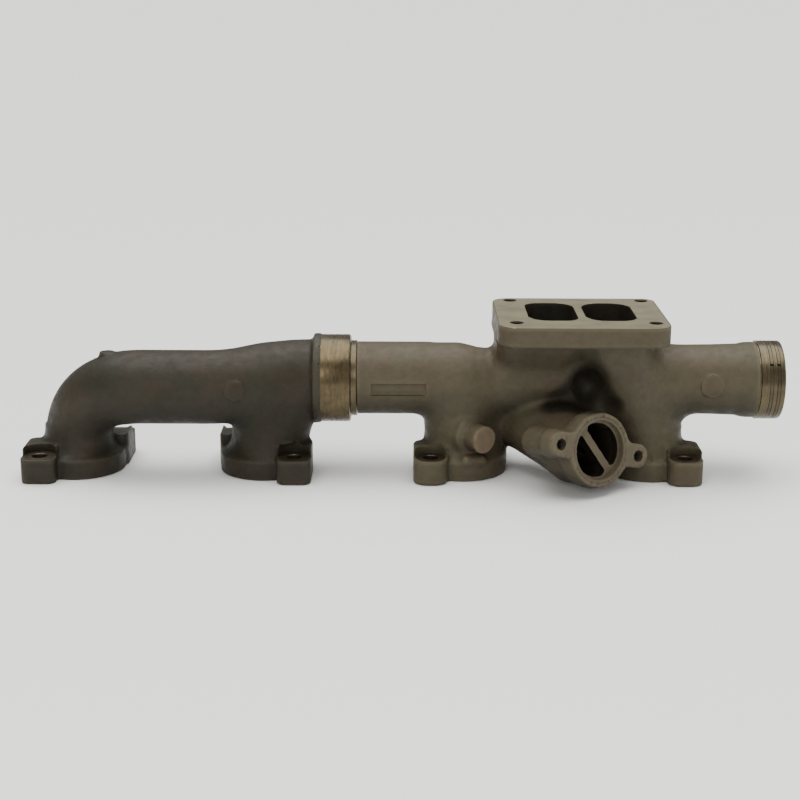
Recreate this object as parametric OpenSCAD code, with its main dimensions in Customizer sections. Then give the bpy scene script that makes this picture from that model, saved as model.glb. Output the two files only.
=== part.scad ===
// Sectional exhaust manifold of a large in-line diesel engine: an end casting and a centre casting
// coupled by a slip joint, whose split rings seal against the socket.
// Frame: the origin is the centre of port 3's face, +X runs along the log towards the open spigot,
// and +Z points away from the port faces, out of the turbocharger flange.

/* [Port flanges] */
// Spacing of the cylinder head's exhaust ports
port_pitch = 161.5; // [158:0.5:168]
// Radius of the gas port in each face
port_r = 21; // [18:0.5:22]
// Outer radius of the neck between a port flange and the log
neck_r = 28; // [26:0.5:29]
// Radius of the flange's round body
flange_r = 38; // [37:0.5:39]
// Thickness of the flange's round body
flange_t = 23; // [20:0.5:26]
// Thickness under the head of a bolt
seat_t = 20.5; // [16:0.5:22]
// Distance of each bolt from the port's axis, along the log
lug_x = 26.5; // [25:0.5:28]
// Distance of each bolt from the port's axis, across the log
lug_y = 36.5; // [34:0.5:39]
// Radius of the lug round a bolt
lug_r = 14.5; // [13:0.5:15]
// Diameter of the clearance hole for a bolt
bolt_hole_d = 12.5; // [11:0.5:13.5]

/* [Log] */
// Height of the log's axis above the port faces
log_z = 80; // [78:0.5:84]
// Outer radius of the log on the centre casting
log_r = 30.3; // [29.5:0.1:31]
// Radius of the gas passage
gas_r = 24.5; // [22:0.5:25.5]
// Outer radius of the bent log on the end casting
bent_log_r = 30.8; // [30:0.1:31.5]
// How far the bent log runs in front of the port line
bent_y = -20; // [-26:1:-10]
// Height of the bent log's axis
bent_z = 76.5; // [72:0.5:80]

/* [Slip joint] */
// Radius of the machined spigot lands
land_r = 33.4; // [32.5:0.1:34]
// Radial gap between the spigot's lands and the socket
joint_gap = 0.08; // [0.05:0.01:0.1]
// Outer radius of the socket collar
collar_r = 37.65; // [37:0.05:39]
// Radius of the cast shoulder behind the lands
shoulder_r = 32.2; // [31.5:0.1:32.4]
// Width of a ring groove
groove_w = 2.6; // [2.2:0.1:3]
// Depth of a ring groove
groove_depth = 3.2; // [2.6:0.1:3.6]
// Side and back gap between a ring and its groove
ring_gap = 0.05; // [0.03:0.01:0.1]
// Angle of the cut in a split ring
ring_cut = 3; // [2:0.5:6]
// How far the end casting is drawn out of the joint, against its place on the engine
draw_out = 6.6; // [3:0.1:7]

/* [Turbocharger flange] */
// Width of the plate along the log
plate_w = 142.5; // [138:0.5:144]
// Thickness of the plate
plate_t = 16.5; // [14:0.5:18]
// Height of the machined face above the port faces
plate_z = 138.8; // [136:0.1:142]
// Bolt spacing along the log
turbo_dx = 114.3; // [113:0.1:116]
// Bolt spacing across the log
turbo_dy = 88.9; // [88:0.1:90]
// Diameter of the tapped holes, at the root of the thread
turbo_hole_d = 8.5; // [8.4:0.1:10.2]

/* [Recirculation outlet] */
// Turn of the outlet's face towards the open spigot
outlet_turn = 33; // [30:1:38]
// Upward tilt of the outlet's face
outlet_tilt = 10; // [6:1:12]
// Outer radius of the outlet's round face
outlet_r = 30.4; // [28:0.1:31]
// Radius of the counterbore in the outlet
outlet_bore_r = 24.5; // [23:0.5:25]
// Spacing of the two tapped holes beside the outlet
outlet_bolts = 82; // [78:0.5:84]
// Diameter of the tapped holes beside the outlet, at the root of the thread
outlet_hole_d = 6.8; // [6.6:0.1:8]

/* [Hidden] */

CAST_END = [0.30, 0.29, 0.25];
CAST_CENTRE = [0.42, 0.39, 0.33];
RING_STEEL = [0.46, 0.43, 0.38];
$fn = 48;

// Radius of the spot face that clears a bolt's head
seat_r = 12;

// Lands and grooves of a spigot, from its tip inwards
tip_land = 4.4;
mid_land = 3.5;
root_land = 7.4;
shoulder_w = 6.1;
spigot_l = tip_land + mid_land + root_land + 2 * groove_w + shoulder_w;
right_tip_x = 270.1;
left_tip_x = -114.1;
outer_groove = tip_land;
inner_groove = tip_land + groove_w + mid_land;

// Socket collar of the end casting
collar_mouth_x = -94.4;
collar_back_x = -123;
socket_bottom_x = left_tip_x - draw_out - 1;

// Turbocharger flange: the plate stands further out in front of the bolts than behind them
plate_x0 = 27.5;
plate_y0 = -66;
plate_d = 120;
turbo_x = 100;
corner_r = 14;
gallery_y = [-37, 32];
gallery_left = [54, 95.5];
gallery_right = [102.3, 144];
gallery_corner = 17;
divider_x = [95.5, 102.3];

// Recirculation outlet: where its face lies, and the line of its two bolts in that face
outlet_at = [111.5, -75, 39.1];
outlet_roll = 15.8;
outlet_head_t = 15;
outlet_step = 5;
passage_r = 22.5;
outlet_bar_turn = -41.5;

// Cast boss on port 3's neck
boss_face = [18.5, -42, 37.3];
boss_turn = 37;

// Route of the bent log's axis: out of the socket, sideways, along, and down into port 1
near_port_x = -port_pitch - draw_out;
far_port_x = near_port_x - port_pitch;
route_start = [collar_back_x + 4, 0, log_z];
route_side = [-198, bent_y, bent_z];
route_turn = [-292, bent_y, bent_z];
route_foot = [far_port_x, 0, 26];

function bezier(a, b, c, d, steps, first = 0) = [
    for (i = [first : steps]) let (t = i / steps, s = 1 - t)
        s * s * s * a + 3 * s * s * t * b + 3 * s * t * t * c + t * t * t * d
];
log_route = concat(
    bezier(route_start, route_start - [30, 0, 0], route_side + [34, 0, 0], route_side, 10),
    bezier(route_side, route_side - [30, 0, 0], route_turn + [30, 0, 0], route_turn, 3, 1),
    bezier(route_turn, route_turn - [27, 0, 0], route_foot + [0, 0, 30], route_foot, 12, 1)
);

function unit(v) = v / norm(v);

// A ring of points square to the route's direction at one of its points
function route_ring(route, i, r, sides) =
    let (
        last = len(route) - 1,
        along = unit(route[min(i + 1, last)] - route[max(i - 1, 0)]),
        side = unit(cross(along, [0, 1, 0])),
        up = cross(side, along)
    ) [for (k = [0 : sides - 1]) route[i] + r * (cos(360 * k / sides) * side + sin(360 * k / sides) * up)];

// Round bar of radius r along a route of points
module swept_bar(route, r, sides = 24) {
    rings = len(route);
    points = [for (i = [0 : rings - 1]) each route_ring(route, i, r, sides)];
    skin = [
        for (i = [0 : rings - 2], k = [0 : sides - 1])
            let (a = i * sides + k, b = i * sides + (k + 1) % sides)
                each [[a, b, b + sides], [a, b + sides, a + sides]]
    ];
    start_cap = [[for (k = [0 : sides - 1]) sides - 1 - k]];
    end_cap = [[for (k = [0 : sides - 1]) (rings - 1) * sides + k]];
    polyhedron(points = points, faces = concat(start_cap, end_cap, skin), convexity = 4);
}

// Cylinder along +X at the height of the log's axis
module log_bar(x0, x1, r) {
    translate([x0, 0, log_z]) rotate([0, 90, 0]) cylinder(r = r, h = x1 - x0, $fn = 96);
}

// Turns a profile of [radius, place along X] round the log's axis
module log_turned(profile) {
    translate([0, 0, log_z]) rotate([0, 90, 0]) rotate_extrude($fn = 96) polygon(profile);
}

// Straight round bar between two points
module bar(a, b, r) {
    d = b - a;
    translate(a)
        rotate([0, acos(d[2] / norm(d)), atan2(d[1], d[0])])
            cylinder(r = r, h = norm(d));
}

// Port flange with two bolt lugs on a diagonal; hand = 1 puts the front lug towards -X
module port_flange(x, hand) {
    translate([x, 0, 0]) {
        cylinder(r = flange_r, h = flange_t, $fn = 72);
        for (side = [-1, 1]) {
            lug = [side * hand * lug_x, side * lug_y, 0];
            translate(lug) cylinder(r = lug_r, h = seat_t);
            translate(lug + [-(lug_r - 0.4), side > 0 ? -lug_y : 0, 0])
                cube([2 * lug_r - 0.8, lug_y, seat_t]);
        }
        cylinder(r1 = neck_r + 7, r2 = neck_r, h = flange_t + 9);
    }
}

module port_bolt_holes(x, hand) {
    for (side = [-1, 1])
        translate([x + side * hand * lug_x, side * lug_y, -1]) {
            cylinder(d = bolt_hole_d, h = seat_t + 2);
            translate([0, 0, seat_t + 1]) cylinder(r = seat_r, h = 12);
        }
}

// Outer profile of a spigot as [radius, distance from the tip]
function spigot_profile() =
    let (
        groove_r = land_r - groove_depth,
        land_end = spigot_l - shoulder_w
    ) [
        [land_r - 1.2, 0], [land_r, 1.2],
        [land_r, outer_groove], [groove_r, outer_groove],
        [groove_r, outer_groove + groove_w], [land_r, outer_groove + groove_w],
        [land_r, inner_groove], [groove_r, inner_groove],
        [groove_r, inner_groove + groove_w], [land_r, inner_groove + groove_w],
        [land_r, land_end], [shoulder_r, land_end],
        [shoulder_r, spigot_l - 1.2]
    ];

function to_right_tip(profile) = [for (p = profile) [p[0], right_tip_x - p[1]]];
function to_left_tip(profile) = [for (p = profile) [p[0], left_tip_x + p[1]]];
function reversed(list) = [for (i = [len(list) - 1 : -1 : 0]) list[i]];

// Centre log with a spigot at each end; its right end narrows past port 4
module log_with_spigots() {
    tube = [
        [log_r, left_tip_x + spigot_l], [log_r, 185], [log_r - 1.6, 203],
        [log_r - 1.6, 210], [log_r + 0.4, right_tip_x - spigot_l]
    ];
    log_turned(concat(
        [[0, left_tip_x]], to_left_tip(spigot_profile()), tube,
        reversed(to_right_tip(spigot_profile())), [[0, right_tip_x]]
    ));
}

function rounded(x0, y0, x1, y1, r, steps = 6) = [
    for (corner = [[x1 - r, y1 - r, 0], [x0 + r, y1 - r, 90], [x0 + r, y0 + r, 180], [x1 - r, y0 + r, 270]],
         i = [0 : steps])
        let (angle = corner[2] + 90 * i / steps) [corner[0] + r * cos(angle), corner[1] + r * sin(angle)]
];

module turbo_plate() {
    translate([0, 0, plate_z - plate_t])
        linear_extrude(plate_t)
            polygon(rounded(plate_x0, plate_y0, plate_x0 + plate_w, plate_y0 + plate_d, corner_r));
}

// One branch of the riser, from a gallery under the plate down to a stretch of the log; its side
// away from the other branch leans out to side_x
module riser_branch(gallery, side_x, log_x0, log_x1) {
    wall = 6;
    hull() {
        translate([side_x - 2, -28, plate_z - plate_t - 1]) cube([4, 56, 3]);
        translate([gallery[0] - wall, gallery_y[0] - wall, plate_z - plate_t - 1])
            cube([gallery[1] - gallery[0] + 2 * wall, gallery_y[1] - gallery_y[0] + 2 * wall, 3]);
        translate([log_x0, 0, log_z]) rotate([0, 90, 0]) cylinder(r = log_r - 0.3, h = log_x1 - log_x0, $fn = 32);
    }
}

module turbo_gallery(gallery) {
    middle = (gallery_y[0] + gallery_y[1]) / 2;
    half = (gallery[1] - gallery[0]) / 2 - 5;
    translate([0, 0, log_z + 28])
        linear_extrude(plate_z)
            polygon(rounded(gallery[0], gallery_y[0], gallery[1], gallery_y[1], gallery_corner));
    translate([(gallery[0] + gallery[1]) / 2 - half, middle - 23, log_z])
        cube([2 * half, 46, 34]);
}

// Puts its children in the outlet's face: X along the bolts, Z out of the face
module in_outlet_face() {
    translate(outlet_at)
        rotate([0, 0, outlet_turn]) rotate([90 - outlet_tilt, 0, 0]) rotate([0, 0, -outlet_roll])
            children();
}

// Round duct that leaves the log's underside and ends in the outlet's face
module outlet_body() {
    hull() {
        translate([60, 2, 42]) sphere(r = outlet_r - 1, $fn = 32);
        in_outlet_face() translate([0, 0, -outlet_head_t - 2]) cylinder(r = outlet_r - 1, h = 4, $fn = 32);
    }
    in_outlet_face() {
        translate([0, 0, -outlet_head_t - 1]) cylinder(r = outlet_r, h = outlet_head_t + 1, $fn = 72);
        for (side = [-1, 1])
            translate([side * outlet_bolts / 2, 0, side < 0 ? -42 : -outlet_head_t])
                cylinder(r = 10, h = side < 0 ? 42 : outlet_head_t);
        translate([-outlet_bolts / 2, -9, -outlet_head_t]) cube([outlet_bolts, 18, outlet_head_t]);
        translate([-outlet_bolts / 2, -9, -42]) cube([14, 18, 30]);
    }
}

// Counterbore, the passage behind it with its dividing bar, and the two tapped holes
module outlet_holes() {
    in_outlet_face() {
        translate([0, 0, -outlet_step]) cylinder(r = outlet_bore_r, h = outlet_step + 1, $fn = 72);
        difference() {
            translate([0, 0, -30]) cylinder(r = passage_r, h = 30, $fn = 72);
            rotate([0, 0, outlet_bar_turn]) cube([2 * outlet_r, 4, 80], center = true);
        }
        for (side = [-1, 1])
            translate([side * outlet_bolts / 2, 0, -18]) cylinder(d = outlet_hole_d, h = 19);
    }
    bar([96, -55, 34], [72, 0, 60], 9);
    bar([99, -45, 45], [112, 0, 68], 8);
}

module end_casting() {
    color(CAST_END) difference() {
        union() {
            port_flange(far_port_x, 1);
            port_flange(near_port_x, -1);
            bar([near_port_x, 0, 10], [near_port_x, bent_y * 0.7, bent_z], neck_r);
            swept_bar(concat(log_route, [route_foot - [0, 0, 14]]), bent_log_r);
            log_turned([
                [0, collar_back_x - 3.7], [bent_log_r + 0.6, collar_back_x - 3.7], [collar_r, collar_back_x],
                [collar_r, collar_mouth_x - 1.6], [collar_r - 1.6, collar_mouth_x], [0, collar_mouth_x]
            ]);
            translate([far_port_x + 27, bent_y * 0.4, bent_z + bent_log_r - 8]) cylinder(r = 5, h = 9);
        }
        swept_bar(concat([route_start + [8, 0, 0]], log_route), gas_r);
        log_bar(socket_bottom_x, collar_mouth_x + 1, land_r + joint_gap);
        translate([far_port_x, 0, -1]) cylinder(r = port_r, h = 40);
        translate([near_port_x, 0, -1]) cylinder(r = port_r, h = flange_t);
        bar([near_port_x, 0, 2], [near_port_x, bent_y * 0.7, bent_z], port_r - 0.5);
        port_bolt_holes(far_port_x, 1);
        port_bolt_holes(near_port_x, -1);
    }
}

module centre_casting() {
    color(CAST_CENTRE) difference() {
        union() {
            log_with_spigots();
            for (port = [[0, 1], [port_pitch, -1]]) {
                port_flange(port[0], port[1]);
                translate([port[0], 0, 5]) cylinder(r = neck_r, h = log_z - 5);
            }
            turbo_plate();
            riser_branch(gallery_left, plate_x0 + 3, 34, 92);
            riser_branch(gallery_right, 154, 104, 158);
            outlet_body();
            bar(boss_face - 26 * [sin(boss_turn), -cos(boss_turn), 0], boss_face, 11.5);
        }
        log_bar(left_tip_x - 1, divider_x[0], gas_r);
        log_bar(divider_x[1], right_tip_x + 1, gas_r);
        for (x = [0, port_pitch])
            translate([x, 0, -1]) cylinder(r = port_r, h = log_z);
        turbo_gallery(gallery_left);
        turbo_gallery(gallery_right);
        for (i = [-1, 1], j = [-1, 1])
            translate([turbo_x + i * turbo_dx / 2, j * turbo_dy / 2, plate_z - plate_t - 1])
                cylinder(d = turbo_hole_d, h = plate_t + 2);
        outlet_holes();
        port_bolt_holes(0, 1);
        port_bolt_holes(port_pitch, -1);
    }
}

// Split ring in a spigot groove; outward = 1 on the right spigot, -1 on the left one
module split_ring(tip_x, outward, groove) {
    x = tip_x - outward * (groove + groove_w / 2);
    translate([x, 0, log_z]) rotate([0, 90, 0]) rotate([0, 0, 234 + ring_cut / 2])
        rotate_extrude(angle = 360 - ring_cut, $fn = 96)
            translate([land_r - groove_depth + 2 * ring_gap, ring_gap - groove_w / 2])
                square([groove_depth - 2 * ring_gap, groove_w - 2 * ring_gap]);
}

module joint_ring_inner() { color(RING_STEEL) split_ring(left_tip_x, -1, inner_groove); }
module joint_ring_outer() { color(RING_STEEL) split_ring(left_tip_x, -1, outer_groove); }
module end_ring_inner() { color(RING_STEEL) split_ring(right_tip_x, 1, inner_groove); }
module end_ring_outer() { color(RING_STEEL) split_ring(right_tip_x, 1, outer_groove); }

end_casting();
centre_casting();
joint_ring_inner();
joint_ring_outer();
end_ring_inner();
end_ring_outer();
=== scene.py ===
"""Sectional exhaust manifold: an end casting and a centre casting coupled by a slip joint.

The cast bodies are surfaces of signed-distance fields, because every meeting of two bodies on a casting
is a fillet: a field is computed with numpy on a grid of points, as whole arrays, and its zero level is
the skin. Machined parts (spigots, socket collar, bolt seats, threads, rings) are profiles carried round
an axis. Lengths are in metres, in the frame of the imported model, except where a description says
millimetres.
"""

from __future__ import annotations

import functools
import logging
import math
from collections.abc import Callable, Iterable, Sequence
from dataclasses import dataclass, field
from enum import Enum, IntEnum

import bpy
import numpy as np
from mathutils import Matrix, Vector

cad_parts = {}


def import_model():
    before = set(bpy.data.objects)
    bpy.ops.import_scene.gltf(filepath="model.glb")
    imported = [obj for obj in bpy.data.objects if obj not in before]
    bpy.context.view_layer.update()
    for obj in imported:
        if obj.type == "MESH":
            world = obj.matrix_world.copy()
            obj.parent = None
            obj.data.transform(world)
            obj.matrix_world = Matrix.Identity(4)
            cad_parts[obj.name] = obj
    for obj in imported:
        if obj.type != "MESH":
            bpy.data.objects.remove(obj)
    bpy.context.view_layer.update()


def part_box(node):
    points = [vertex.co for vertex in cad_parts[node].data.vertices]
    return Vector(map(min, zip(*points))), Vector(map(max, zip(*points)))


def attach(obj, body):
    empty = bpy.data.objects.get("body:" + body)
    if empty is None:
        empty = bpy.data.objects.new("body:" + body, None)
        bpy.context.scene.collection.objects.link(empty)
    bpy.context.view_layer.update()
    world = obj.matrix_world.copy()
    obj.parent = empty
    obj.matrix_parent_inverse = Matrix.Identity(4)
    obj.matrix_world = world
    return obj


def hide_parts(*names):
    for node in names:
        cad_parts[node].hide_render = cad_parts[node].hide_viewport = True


Point = Sequence[float]
Colour = tuple[float, float, float, float]
LOG = logging.getLogger("manifold")
MM = 0.001
GRID_STEP = 2.0 * MM
SLAB_POINTS = 200_000
PROBE = 0.05 * MM
CURVE_REACH = 4.0 * MM
STAY_WEIGHT = 0.04
CELL_SLACK = 0.1
ALONG = (1, 0, 0)
ACROSS = (0, 1, 0)
UP = (0, 0, 1)


def mm(*sizes: float) -> tuple[float, ...]:
    """Millimetres as metres."""
    return tuple(size * MM for size in sizes)


# ---------------------------------------------------------------------------------------------
# Solids as signed distances
# ---------------------------------------------------------------------------------------------


@dataclass(frozen=True)
class Solid:
    """A solid given by its signed distance: negative inside, positive outside.

    Attributes:
        distance: Takes an (n, 3) array of points and returns their n distances.
    """

    distance: Callable[[np.ndarray], np.ndarray]

    def __call__(self, points: np.ndarray) -> np.ndarray:
        """Distances of the points."""
        return self.distance(points)

    def join(self, other: Solid, fillet: float) -> Solid:
        """Union of two solids with a fillet of so many millimetres where they meet."""
        return Solid(lambda points: soft_least(self(points), other(points), fillet * MM))

    def cut(self, other: Solid, edge: float) -> Solid:
        """This solid less another, with the new edge rounded over so many millimetres."""
        return Solid(lambda points: -soft_least(-self(points), other(points), edge * MM))

    def within(self, other: Solid) -> Solid:
        """What the two solids share."""
        return Solid(lambda points: np.maximum(self(points), other(points)))


def soft_least(a: np.ndarray, b: np.ndarray, width: float) -> np.ndarray:
    """The lesser of two arrays, rounded where they are closer than width.

    Formula: the lesser value, less a quadratic bump that is a quarter of the width deep where both are
    equal and fades to nothing where they differ by the width.

    Args:
        a: First distances.
        b: Second distances.
        width: Width of the rounding; 0 gives the plain lesser value.

    Returns:
        The rounded lesser values.
    """
    if width <= 0:
        return np.minimum(a, b)
    nearness = np.maximum(width - np.abs(a - b), 0.0) / width
    return np.minimum(a, b) - nearness**2 * width * 0.25


def blend(base: Solid, *parts: tuple[Solid, float]) -> Solid:
    """Joins parts to a base one after another, each with its fillet in millimetres."""
    return functools.reduce(lambda whole, part: whole.join(*part), parts, base)


def union(parts: Iterable[Solid]) -> Solid:
    """All the parts together, with no fillets."""
    return functools.reduce(lambda whole, part: whole.join(part, 0), parts)


def unit(vector: Point) -> np.ndarray:
    """The vector at length one."""
    array = np.asarray(vector, float)
    return array / np.linalg.norm(array)


def round_bar(start: Point, end: Point, radius: float, end_radius: float | None = None) -> Solid:
    """Bar with ball ends between two points; the radius runs evenly from one end to the other.

    Args:
        start: Centre of the first ball.
        end: Centre of the last ball.
        radius: Radius at the start.
        end_radius: Radius at the end, the same if left out.

    Returns:
        The bar.
    """
    a, run = np.asarray(start, float), np.asarray(end, float) - np.asarray(start, float)
    last = radius if end_radius is None else end_radius

    def distance(points: np.ndarray) -> np.ndarray:
        """Distances of the points."""
        along = np.clip((points - a) @ run / (run @ run), 0.0, 1.0)
        gap = np.linalg.norm(points - a - along[:, None] * run, axis=1)
        return gap - (radius + (last - radius) * along)

    return Solid(distance)


@dataclass(frozen=True)
class Bar:
    """Bar with ball ends, in millimetres.

    Attributes:
        start: Centre of the first ball.
        end: Centre of the last ball.
        radius: Radius at the start.
        end_radius: Radius at the end, the same if left out.
    """

    start: Point
    end: Point
    radius: float
    end_radius: float | None = None

    def solid(self, x: float = 0.0) -> Solid:
        """Works out the bar.

        Args:
            x: How far it is moved along the log, in metres.

        Returns:
            The bar.
        """
        last = self.radius if self.end_radius is None else self.end_radius
        start, end = (np.array(mm(*place)) + (x, 0, 0) for place in (self.start, self.end))
        return round_bar(start, end, self.radius * MM, last * MM)


def disc(centre: Point, axis: Point, radius: float, half: float, edge: float = 0.0) -> Solid:
    """Flat-ended cylinder round an axis, with rounded rims.

    Args:
        centre: Its middle.
        axis: Direction of its axis.
        radius: Outer radius.
        half: Half its length.
        edge: Radius of the rims' rounding.

    Returns:
        The cylinder.
    """
    middle, along = np.asarray(centre, float), unit(axis)

    def distance(points: np.ndarray) -> np.ndarray:
        """Distances of the points."""
        local = points - middle
        height = local @ along
        out = np.sqrt(np.maximum((local * local).sum(1) - height * height, 0.0))
        return rounded_corner(out - (radius - edge), np.abs(height) - (half - edge), edge)

    return Solid(distance)


def rounded_corner(across: np.ndarray, up: np.ndarray, edge: float | np.ndarray) -> np.ndarray:
    """Distance to a quarter-infinite corner from its two face distances, rounded by edge."""
    outside = np.hypot(np.maximum(across, 0.0), np.maximum(up, 0.0))
    return np.minimum(np.maximum(across, up), 0.0) + outside - edge


@dataclass(frozen=True)
class Corners:
    """Corner radii of a plate's outline, named as seen from above with -Y in front."""

    back_right: float
    front_right: float
    back_left: float
    front_left: float

    @classmethod
    def even(cls, radius: float) -> Corners:
        """The same radius at all four corners."""
        return cls(radius, radius, radius, radius)


def plate(low: Point, high: Point, corners: Corners, edge: float) -> Solid:
    """Upright prism on a rectangle with rounded corners.

    Args:
        low: Lowest corner of its box.
        high: Highest corner of its box.
        corners: Radii of the outline's corners.
        edge: Radius along the top and bottom rims.

    Returns:
        The prism.
    """
    lowest, highest = np.asarray(low, float), np.asarray(high, float)
    middle, half = (lowest + highest) / 2, (highest - lowest) / 2

    def distance(points: np.ndarray) -> np.ndarray:
        """Distances of the points."""
        local = points - middle
        right, back = local[:, 0] > 0, local[:, 1] > 0
        radius = np.where(
            right,
            np.where(back, corners.back_right, corners.front_right),
            np.where(back, corners.back_left, corners.front_left),
        )
        across, deep = (np.abs(local[:, axis]) - half[axis] + radius for axis in (0, 1))
        outline = rounded_corner(across, deep, radius)
        return rounded_corner(outline + edge, np.abs(local[:, 2]) - (half[2] - edge), edge)

    return Solid(distance)


@dataclass(frozen=True)
class Riser:
    """Upright block whose rounded rectangle runs smoothly from one outline at its foot to another at its top.

    Attributes:
        foot: The foot's outline as its (x, y) lowest and highest corners.
        top: The top's outline, the same way.
        levels: Heights of the foot and the top.
        corners: Corner radius at the foot and at the top.
        edge: Rounding of the foot's and the top's rims.
    """

    foot: Sequence[Point]
    top: Sequence[Point]
    levels: Point
    corners: Point
    edge: float

    def solid(self) -> Solid:
        """Works out the block.

        Returns:
            The block.
        """
        foot, top = np.asarray(self.foot, float), np.asarray(self.top, float)
        middle, half = (foot[0] + foot[1]) / 2, (foot[1] - foot[0]) / 2
        drift, growth = (top[0] + top[1]) / 2 - middle, (top[1] - top[0]) / 2 - half
        base, tall = self.levels[0], self.levels[1] - self.levels[0]

        def distance(points: np.ndarray) -> np.ndarray:
            """Distances of the points."""
            t = np.clip((points[:, 2] - base) / tall, 0.0, 1.0)
            t = (t * t * (3 - 2 * t))[:, None]
            radius = (self.corners[0] + (self.corners[1] - self.corners[0]) * t)[:, 0]
            local = np.abs(points[:, :2] - middle - drift * t) - half - growth * t
            outline = rounded_corner(local[:, 0] + radius, local[:, 1] + radius, radius)
            up = np.abs(points[:, 2] - base - tall / 2) - (tall / 2 - self.edge)
            return rounded_corner(outline + self.edge, up, self.edge)

        return Solid(distance)


def tongue(start: Point, end: Point, radius: float, height: float, edge: float) -> Solid:
    """Upright prism whose outline is a straight stretch with a round nose at each end.

    Args:
        start: Centre of the first nose, at the foot.
        end: Centre of the second nose, at the foot.
        radius: Radius of the noses.
        height: Height of the prism.
        edge: Radius along its rims.

    Returns:
        The prism.
    """
    a, run = np.asarray(start, float), np.asarray(end, float) - np.asarray(start, float)
    flat_run = run[:2]

    def distance(points: np.ndarray) -> np.ndarray:
        """Distances of the points."""
        local = points - a
        along = np.clip(local[:, :2] @ flat_run / (flat_run @ flat_run), 0.0, 1.0)
        out = np.linalg.norm(local[:, :2] - along[:, None] * flat_run, axis=1) - radius
        return rounded_corner(out + edge, np.abs(local[:, 2] - height / 2) - (height / 2 - edge), edge)

    return Solid(distance)


def egg(centre: Point, radii: Point) -> Solid:
    """Ellipsoid, its distance scaled from the unit ball's.

    Args:
        centre: Its middle.
        radii: Half-axes.

    Returns:
        The ellipsoid.
    """
    middle, size = np.asarray(centre, float), np.asarray(radii, float)

    def distance(points: np.ndarray) -> np.ndarray:
        """Distances of the points."""
        local = points - middle
        near = np.linalg.norm(local / size, axis=1)
        far = np.linalg.norm(local / size**2, axis=1)
        return near * (near - 1.0) / np.maximum(far, 1e-9)

    return Solid(distance)


def pipe(points: np.ndarray, radii: Sequence[float]) -> Solid:
    """Round bar along a route: the least distance to its stretches, each with its own run of radius.

    Args:
        points: (m, 3) points of the route's axis.
        radii: m radii.

    Returns:
        The bar.
    """
    stretches = [round_bar(*stretch) for stretch in zip(points, points[1:], radii, radii[1:])]

    def distance(where: np.ndarray) -> np.ndarray:
        """Distances of the points."""
        least = np.full(len(where), np.inf)
        for stretch in stretches:
            least = np.minimum(least, stretch(where))
        return least

    return Solid(distance)


def bezier(a: Point, b: Point, c: Point, d: Point, steps: int) -> np.ndarray:
    """Points of a cubic curve.

    Args:
        a: Where it starts.
        b: What it leaves a towards.
        c: What it reaches d from.
        d: Where it ends.
        steps: Number of stretches.

    Returns:
        The points, steps + 1 of them.
    """
    t = np.linspace(0.0, 1.0, steps + 1)[:, None]
    s = 1.0 - t
    weights = (s**3, 3 * s * s * t, 3 * s * t * t, t**3)
    return sum(w * np.asarray(p, float) for w, p in zip(weights, (a, b, c, d)))


def under_plane() -> Solid:
    """Everything under the level z = 0."""
    return Solid(lambda points: points[:, 2])


def placed(solid: Solid, basis: np.ndarray, origin: Point) -> Solid:
    """A solid described in its own axes, put at an origin; basis holds those axes as columns."""
    return Solid(lambda points: solid((points - np.asarray(origin, float)) @ basis))


# ---------------------------------------------------------------------------------------------
# Skins: from a field or a profile to a mesh
# ---------------------------------------------------------------------------------------------


@dataclass
class Skin:
    """Vertices and four-sided faces of a surface."""

    vertices: np.ndarray
    faces: np.ndarray

    def kept_in(self, node: str) -> Skin:
        """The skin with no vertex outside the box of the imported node."""
        low, high = (np.asarray(corner, float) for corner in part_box(node))
        return Skin(np.clip(self.vertices, low, high), self.faces)


def slope(solid: Solid, points: np.ndarray) -> np.ndarray:
    """Unit direction in which the distance grows, by central differences.

    Args:
        solid: The solid.
        points: Where it is wanted.

    Returns:
        One direction per point.
    """
    shifts = np.eye(3) * PROBE
    grown = np.stack([solid(points + shift) - solid(points - shift) for shift in shifts], axis=1)
    return grown / np.maximum(np.linalg.norm(grown, axis=1, keepdims=True), 1e-12)


def sampled(solid: Solid, low: np.ndarray, counts: np.ndarray, step: float) -> np.ndarray:
    """Distances on a grid, one slab of points at a time.

    Args:
        solid: The solid.
        low: First grid point.
        counts: Number of grid points along each axis.
        step: Spacing of the grid.

    Returns:
        Distances, shaped like the grid.
    """
    ys, zs = (low[axis] + step * np.arange(counts[axis]) for axis in (1, 2))
    y, z = np.meshgrid(ys, zs, indexing="ij")
    slab_size = max(1, SLAB_POINTS // y.size)
    slabs = []
    for first in range(0, counts[0], slab_size):
        x = low[0] + step * np.arange(first, min(first + slab_size, counts[0]))
        grid = np.empty((len(x), *y.shape, 3))
        grid[..., 0], grid[..., 1], grid[..., 2] = x[:, None, None], y, z
        slabs.append(solid(grid.reshape(-1, 3)).reshape(grid.shape[:3]))
    return np.concatenate(slabs)


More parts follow.
